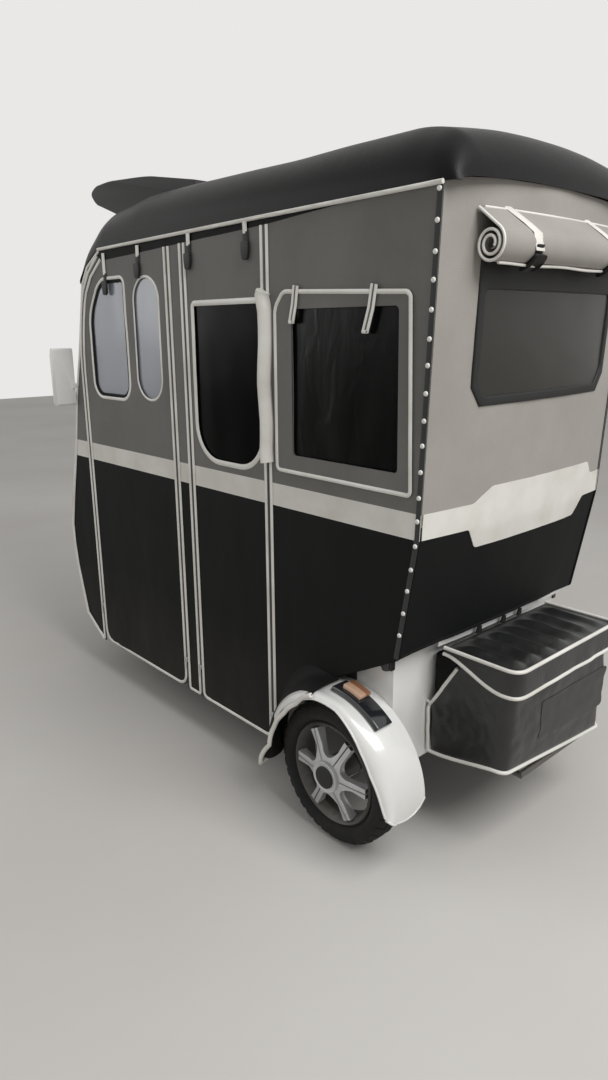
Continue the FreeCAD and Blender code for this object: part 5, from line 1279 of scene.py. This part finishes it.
def makeMudguards():
    bm = bmesh.new()
    low, high, middle = guard["low"], guard["high"], at(0, 0, 0)
    spots = [bm.verts.new(at(r, y, 0)) for y, r in guard["section"]]
    chain = [bm.edges.new(pair) for pair in zip(spots, spots[1:])]
    bmesh.ops.spin(bm, geom=spots + chain, cent=middle, axis=(0, -1, 0), angle=math.radians(high - low),
                   steps=60)
    for vert in bm.verts:
        spot = vert.co - middle
        angle = math.degrees(math.atan2(spot.z, spot.x)) % 360
        vert.co = guardPlace(spot.y * 1000, math.hypot(spot.x, spot.z) * 1000, low + min(angle, 300))
    giveWall(bm, guard["wall"],
             lambda faces: max(faces, key=lambda face: face.calc_center_median().z).normal.z < 0)
    bothSides("mudguard", bm, [whitePaint], "paint_white", (["rear_fender_left"], ["rear_fender_right"]), 50)
    edge = [guardPlace(529.5, 212.5, low + (high - low) * i / 40) for i in range(41)]
    edge += [guardPlace(y, r - 1, high) for y, r in guard["section"][::-1]]
    tubesBothSides("mudguardBead", [edge], 3.2, whitePaint, "paint_white")
    print("mudguards pressed")


def makeIndicators():
    # raised amber box on each smoked lamp: a pale half outside, a deep one inside, parted at the split
    split = 0.45
    bm = easedNode("indicators", 2.5, 3)
    bmesh.ops.triangulate(bm, faces=bm.faces[:])
    for plane in (split, -split):
        bmesh.ops.bisect_plane(bm, geom=everyPart(bm), plane_co=(0, plane, 0), plane_no=(0, 1, 0))
    inner = min(math.hypot(vert.co.x - rearAxle, vert.co.z - axleUp / 1000) for vert in bm.verts)
    for face in bm.faces:
        face.material_index = 1 if abs(face.calc_center_median().y) > split else 0
    for vert in bm.verts:
        away = Vector((vert.co.x - rearAxle, 0, vert.co.z - axleUp / 1000))
        lift = 0.9 * (away.length - inner)
        side = math.copysign(0.445 + (abs(vert.co.y) - split) * 0.95, vert.co.y)
        vert.co = Vector((vert.co.x, side, vert.co.z)) + away.normalized() * lift
    addPiece("amberLamps", bm, [amberLens, paleAmber], nodeSlot["indicators"], ["indicators"], sharp=40)


def remeshed(bm, voxel):
    # an even skin over a closed shape, for soft goods
    item = looseObject("unskinned", bm)
    skin = item.modifiers.new("skin", "REMESH")
    skin.mode = "VOXEL"
    skin.voxel_size = voxel / 1000
    return bakedFrom(item)


# seats: node, channel direction and spacing, how far the cover crowns and sinks at its seams, in mm
seats = {
    "bench_cushion": {"across": "y", "pitch": 124, "crown": 9, "sink": 6},
    "bench_backrest": {"across": "y", "pitch": 124, "crown": 8, "sink": 6},
    "driver_cushion": {"across": "y", "pitch": 82, "crown": 9, "sink": 5},
    "driver_backrest": {"across": "z", "pitch": 90, "crown": 8, "sink": 5}}


def makeSeats():
    for number, (node, seat) in enumerate(seats.items()):
        bm = remeshed(nodeCopy(node), 8)
        soften(bm, 5)
        bm.normal_update()
        low, high = (Vector(corner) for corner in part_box(node))
        axis, upright = "xyz".index(seat["across"]), node.endswith("backrest")
        for vert in bm.verts:
            share = [max(0.0, min(1.0, (vert.co[i] - low[i]) / (high[i] - low[i]))) for i in range(3)]
            middle = math.prod(math.sin(math.pi * share[i]) for i in range(3) if abs(vert.normal[i]) < 0.8)
            seam = abs((vert.co[axis] * 1000 + seat["pitch"] / 2) % seat["pitch"] - seat["pitch"] / 2)
            facing = vert.normal.z > 0.4 or (upright and vert.normal.x > 0.4)
            sink = seat["sink"] * math.exp(-(seam / 7) ** 2) if facing else 0
            crease = 1.5 * noise.noise(vert.co * 14 + Vector((number, 0, 0)))
            rests = 0 if vert.normal.z < -0.6 or (upright and vert.normal.x < -0.5) else 1
            vert.co += vert.normal * (rests * (seat["crown"] * (middle - 0.75) + crease) - sink) / 1000
        piece = addPiece(node + "_cover", bm, [seatVinyl], "seat_vinyl", [node], 70, nodeBody[node])
        print(node, "upholstered")


# luggage bag, in mm: body, lid and the trim on them
bag = {"front": -142, "rear": -400, "side": 243, "low": 240, "top": 561, "corner": 26,
       "lidFront": -187, "lidRear": -411, "lidSide": 249, "lidTop": 567, "lidCorner": 40, "hem": 500,
       "hemFront": 554, "ridgePitch": 68, "piping": 5.2, "diagonal": ((-150, 392), (-227, 520)),
       "patch": [(-235, 312, 8), (97, 312, 8), (97, 436, 8), (-235, 436, 8)]}


def diagonalUp(along):
    # height of the slanting seam on the bag's ends
    first, last = bag["diagonal"]
    return last[1] - (along - last[0]) * (last[1] - first[1]) / (first[0] - last[0])


def bagSkin(spot):
    # sag and wrinkles of the bag's body
    along, side, up = (spot.x - rearAxle) * 1000, spot.y * 1000, spot.z * 1000
    height = max(0.0, min(1.0, (up - bag["low"]) / (bag["top"] - bag["low"])))
    back = smoothStep(along, bag["rear"], bag["front"])
    up += (10 + 0.113 * side) * (1 - back) * (1 - height) ** 2
    # sunk in front of the hinge, so that the lid's front edge has room to turn down
    up -= 24 * smoothStep(up, 530, 561) * smoothStep(along, -244, -222)
    along += 14 * (1 - height) * (1 - smoothStep(along, bag["rear"], -300))
    swell = math.sin(math.pi * min(1, height * 1.15)) if height < 0.87 else 0
    crease = noiseAt(along / 60, side / 90, up / 55) + 0.5 * noiseAt(along / 24, side / 40, up / 30 + 4)
    sideShare = smoothStep(abs(side), 205, 238)
    rearShare = 1 - smoothStep(along, -398, -360)
    side -= 22 * (1 - height) * smoothStep(-side, 60, 240)
    side += math.copysign((3.5 * swell + 4.5 * crease * swell) * sideShare, side)
    along -= (3 * swell + 5 * crease * swell) * rearShare
    line = diagonalUp(along)
    inside = smoothStep(up, line, line + 10) * sideShare * smoothStep(along, -250, -226)
    side -= math.copysign(9 * inside, side)
    return at(along, side, up)


def lidLine(side, front, rear, corner):
    # the lid's edge from its left front corner round the back to the right
    spots = [(front, side), (rear, side, corner), (rear, -side, corner), (front, -side)]
    return paced(easedRun(spots), 9)


def bagBlock(front, rear, side, frontCorner, corner, low, high, voxel):
    # a closed block with an even skin
    bm = prismOf([(front, side, frontCorner), (rear, side, corner), (rear, -side, corner),
                  (front, -side, frontCorner)], low, high)
    hang(bm, at)
    return remeshed(bm, voxel)


def makeBag():
    front, rear, side, first, last = bag["front"], bag["rear"], bag["side"], *bag["diagonal"]
    bm = bagBlock(front, rear, side, 12, bag["corner"], bag["low"], bag["top"], 7)
    soften(bm, 3)
    for vert in bm.verts:
        vert.co = bagSkin(vert.co)
    for face in bm.faces:
        spot = face.calc_center_median()
        along = (spot.x - rearAxle) * 1000
        dark = spot.z * 1000 > diagonalUp(along) + 5 and along > -226 and abs(spot.y) > 0.2
        face.material_index = 1 if dark else 0
    body = addPiece("bagBody", bm, [bagVinyl, canvasBlack], "bag_vinyl", ["bag_body"], sharp=70)

    def onBag(along, side, up):
        # a trim line's place on the bag's skin
        return bagSkin(at(along, side, up))
    hem = [onBag(x, y, bag["low"] + 3) for x, y in lidLine(side + 1, front, rear - 1, bag["corner"])]
    upright = [onBag(front + 1, side + 1, z) for z in range(bag["low"] + 3, 393, 12)]
    slope = [onBag(first[0] + 44, side + 4, first[1] + 6)] + [
        onBag(first[0] + (last[0] - first[0]) * t / 6, side + 2, first[1] + (last[1] - first[1]) * t / 6 + 2)
        for t in range(7)]
    edges = [hem, upright, slope] + otherSide([upright, slope])
    tubeRuns("bagPiping", edges, bag["piping"], pipingVinyl, "bag_vinyl")

    # bare patch on the rear face
    bm = cutCloth(bag["patch"], step=12, thick=1.6)
    hang(bm, lambda side, up, out: onBag(rear, side, up) - Vector(((out + 1.2) / 1000, 0, 0)))
    patch = addPiece("bagPatch", bm, [patchVinyl], "bag_vinyl")
    makeBagLid()
    print("bag sewn")


def makeBagLid():
    # quilted lid
    front, rear, wide, top = bag["lidFront"], bag["lidRear"], bag["lidSide"], bag["lidTop"]
    bm = bagBlock(front, rear, wide, 8, bag["lidCorner"], bag["top"] + 0.8, top + 1, 4.5)
    for vert in bm.verts:
        along, side = (vert.co.x - rearAxle) * 1000, vert.co.y * 1000
        if vert.co.z * 1000 < bag["top"] + 4:
            continue
        edge = min(smoothStep(along, rear, rear + 40), 1 - smoothStep(along, -245, front),
                   1 - smoothStep(abs(side), 215, wide))
        drift = 10 * noiseAt(along / 90, side / 200, 3.3)
        wave = 0.5 + 0.5 * math.cos((side + drift) / bag["ridgePitch"] * 2 * math.pi)
        sag = 2.5 * noiseAt(along / 50, side / 60, 8.1)
        vert.co.z += (edge * (9 * wave ** 1.6 + 2 + sag) + 0.8) / 1000
    soften(bm, 1)
    lid = addPiece("bagLid", bm, [bagVinyl], "bag_vinyl", ["bag_lid"], 70, "bag_lid")

    # skirt round the lid, short at the front corners
    line = lidLine(wide + 1.5, front, rear - 1.5, bag["lidCorner"])
    count = len(line) - 1

    def skirtPlace(share, fall):
        along, side = line[min(count, max(0, round(share * count)))]
        hem = bag["hem"] + (bag["hemFront"] - bag["hem"]) * smoothStep(along, -370, front)
        wave = 3.5 * fall * noiseAt(along / 45, side / 45, 6.6)
        away = Vector((along + 300, side, 0)).normalized() * (wave + 1.5 * fall)
        return at(along + away.x, side + away.y, top - (top - hem) * fall)
    bm = layGrid(count, 10, lambda x, y: skirtPlace(x + 0.5, 0.5 - y))
    giveWall(bm, 2.4, lambda faces: min(faces, key=lambda face: face.calc_center_median().x).normal.x > 0)
    skirt = addPiece("bagSkirt", bm, [bagVinyl], "bag_vinyl", sharp=60, body="bag_lid")
    edges = [[skirtPlace(i / count, 0.0) + Vector((0, 0, 0.004)) for i in range(count + 1)],
             [skirtPlace(i / count, 1.0) for i in range(count + 1)]]
    tubeRuns("bagLidPiping", edges, bag["piping"], pipingVinyl, "bag_vinyl", "bag_lid")


makeCamera()
for make in (makeSides, makeBinding, makeCornerBinding, makeRearWall, makeFlapRoll, makeRoof, makeFlare,
             makeFilms, makeQuarterFlap, makeDoorLoops, makeSurround, makeVisor, makeMudguards, makeBag,
             makeSeats):
    make()

# floor, sky and lights: place, power and size of each lamp
studio = {"floor": "bdb8b2", "floorWorn": "d6d4d0", "seen": "e9e8e6", "sky": 0.42, "lamps": {
    "keyLight": ((-3.9, 0.2, 4.5), 190, 2.8), "fillLight": ((2.8, 3.2, 2.6), 22, 2.8)}}


def makeStudio():
    bm = bmesh.new()
    bmesh.ops.create_grid(bm, x_segments=8, y_segments=8, size=14)
    floor = looseObject("studioFloor", bm)
    paper, shader, spot = startMaterial("matteFloorPaper", {"Roughness": 0.85})
    clouds = addNode(paper, "TexNoise", {"Scale": 0.7, "Detail": 5}, {"Vector": spot})
    colour = addNode(paper, "Mix", {
        "data_type": "RGBA", 6: hexColour(studio["floor"]), 7: hexColour(studio["floorWorn"])}, {
        0: clouds.outputs["Fac"]})
    paper.node_tree.links.new(colour.outputs[2], shader.inputs["Base Color"])
    floor.data.materials.append(paper)
    world = bpy.data.worlds.new("studioSky")
    scene.world = world
    world.use_nodes = True
    world.node_tree.nodes.clear()
    light = addNode(world, "Background", {"Color": (1, 1, 1, 1), "Strength": studio["sky"]})
    seen = addNode(world, "Background", {"Color": hexColour(studio["seen"]), "Strength": 1})
    path = addNode(world, "LightPath")
    either = addNode(world, "Math", {"operation": "MAXIMUM"}, {
        0: path.outputs["Is Camera Ray"], 1: path.outputs["Is Glossy Ray"]})
    anyOf = addNode(world, "Math", {"operation": "MAXIMUM"}, {
        0: either.outputs[0], 1: path.outputs["Is Transmission Ray"]})
    mixed = addNode(world, "MixShader", links={0: anyOf.outputs[0], 1: light.outputs[0], 2: seen.outputs[0]})
    addNode(world, "OutputWorld", links={"Surface": mixed.outputs[0]})
    for name, (place, power, size) in studio["lamps"].items():
        lamp = bpy.data.lights.new(name, "AREA")
        lamp.energy = power
        lamp.size = size
        holder = bpy.data.objects.new(name, lamp)
        holder.location = place
        holder.rotation_euler = (Vector((0, 0, 0.8)) - Vector(place)).to_track_quat("-Z", "Y").to_euler()
        scene.collection.objects.link(holder)


makeStudio()

for label, (body, node, along, side) in wheels.items():
    makeWheel(label, body, node, along, side)
# castings and mouldings: how far their edges are eased in mm, and their finish
cast = {"rear_body_shell": (6, whitePaint), "front_apron": (5, whitePaint), "front_fender": (3, whitePaint),
        "tail_lamps": (3, smokedLens), "headlamp_bezel": (3, blackPlastic),
        "battery_box": (6, batteryPlastic), "driver_seat_base": (4, framePaint), "mirrors": (7, whitePaint)}
for node, (ease, finish) in cast.items():
    addPiece(node + "_eased", easedNode(node, ease, 3), [finish], nodeSlot[node], [node], 40, nodeBody[node])
makeIndicators()
print("castings eased")

# nodes that show as they are
finishes = {
    "chassis_frame": framePaint, "floor_pan": floorPaint, "bench_base": framePaint, "rear_axle": axlePaint,
    "drive_motor": motorAlloy, "rear_dampers": springSteel, "windscreen": screenAcrylic,
    "headlamp_lens": lampLens, "inner_legshield": blackPlastic, "front_fork": framePaint,
    "handlebar": brightChrome, "hand_grips": gripRubber, "canopy_frame": framePaint, "bag_rack": framePaint}
for nodeName, finish in finishes.items():
    frame["nodes"][nodeName].data.materials.clear()
    frame["nodes"][nodeName].data.materials.append(finish)
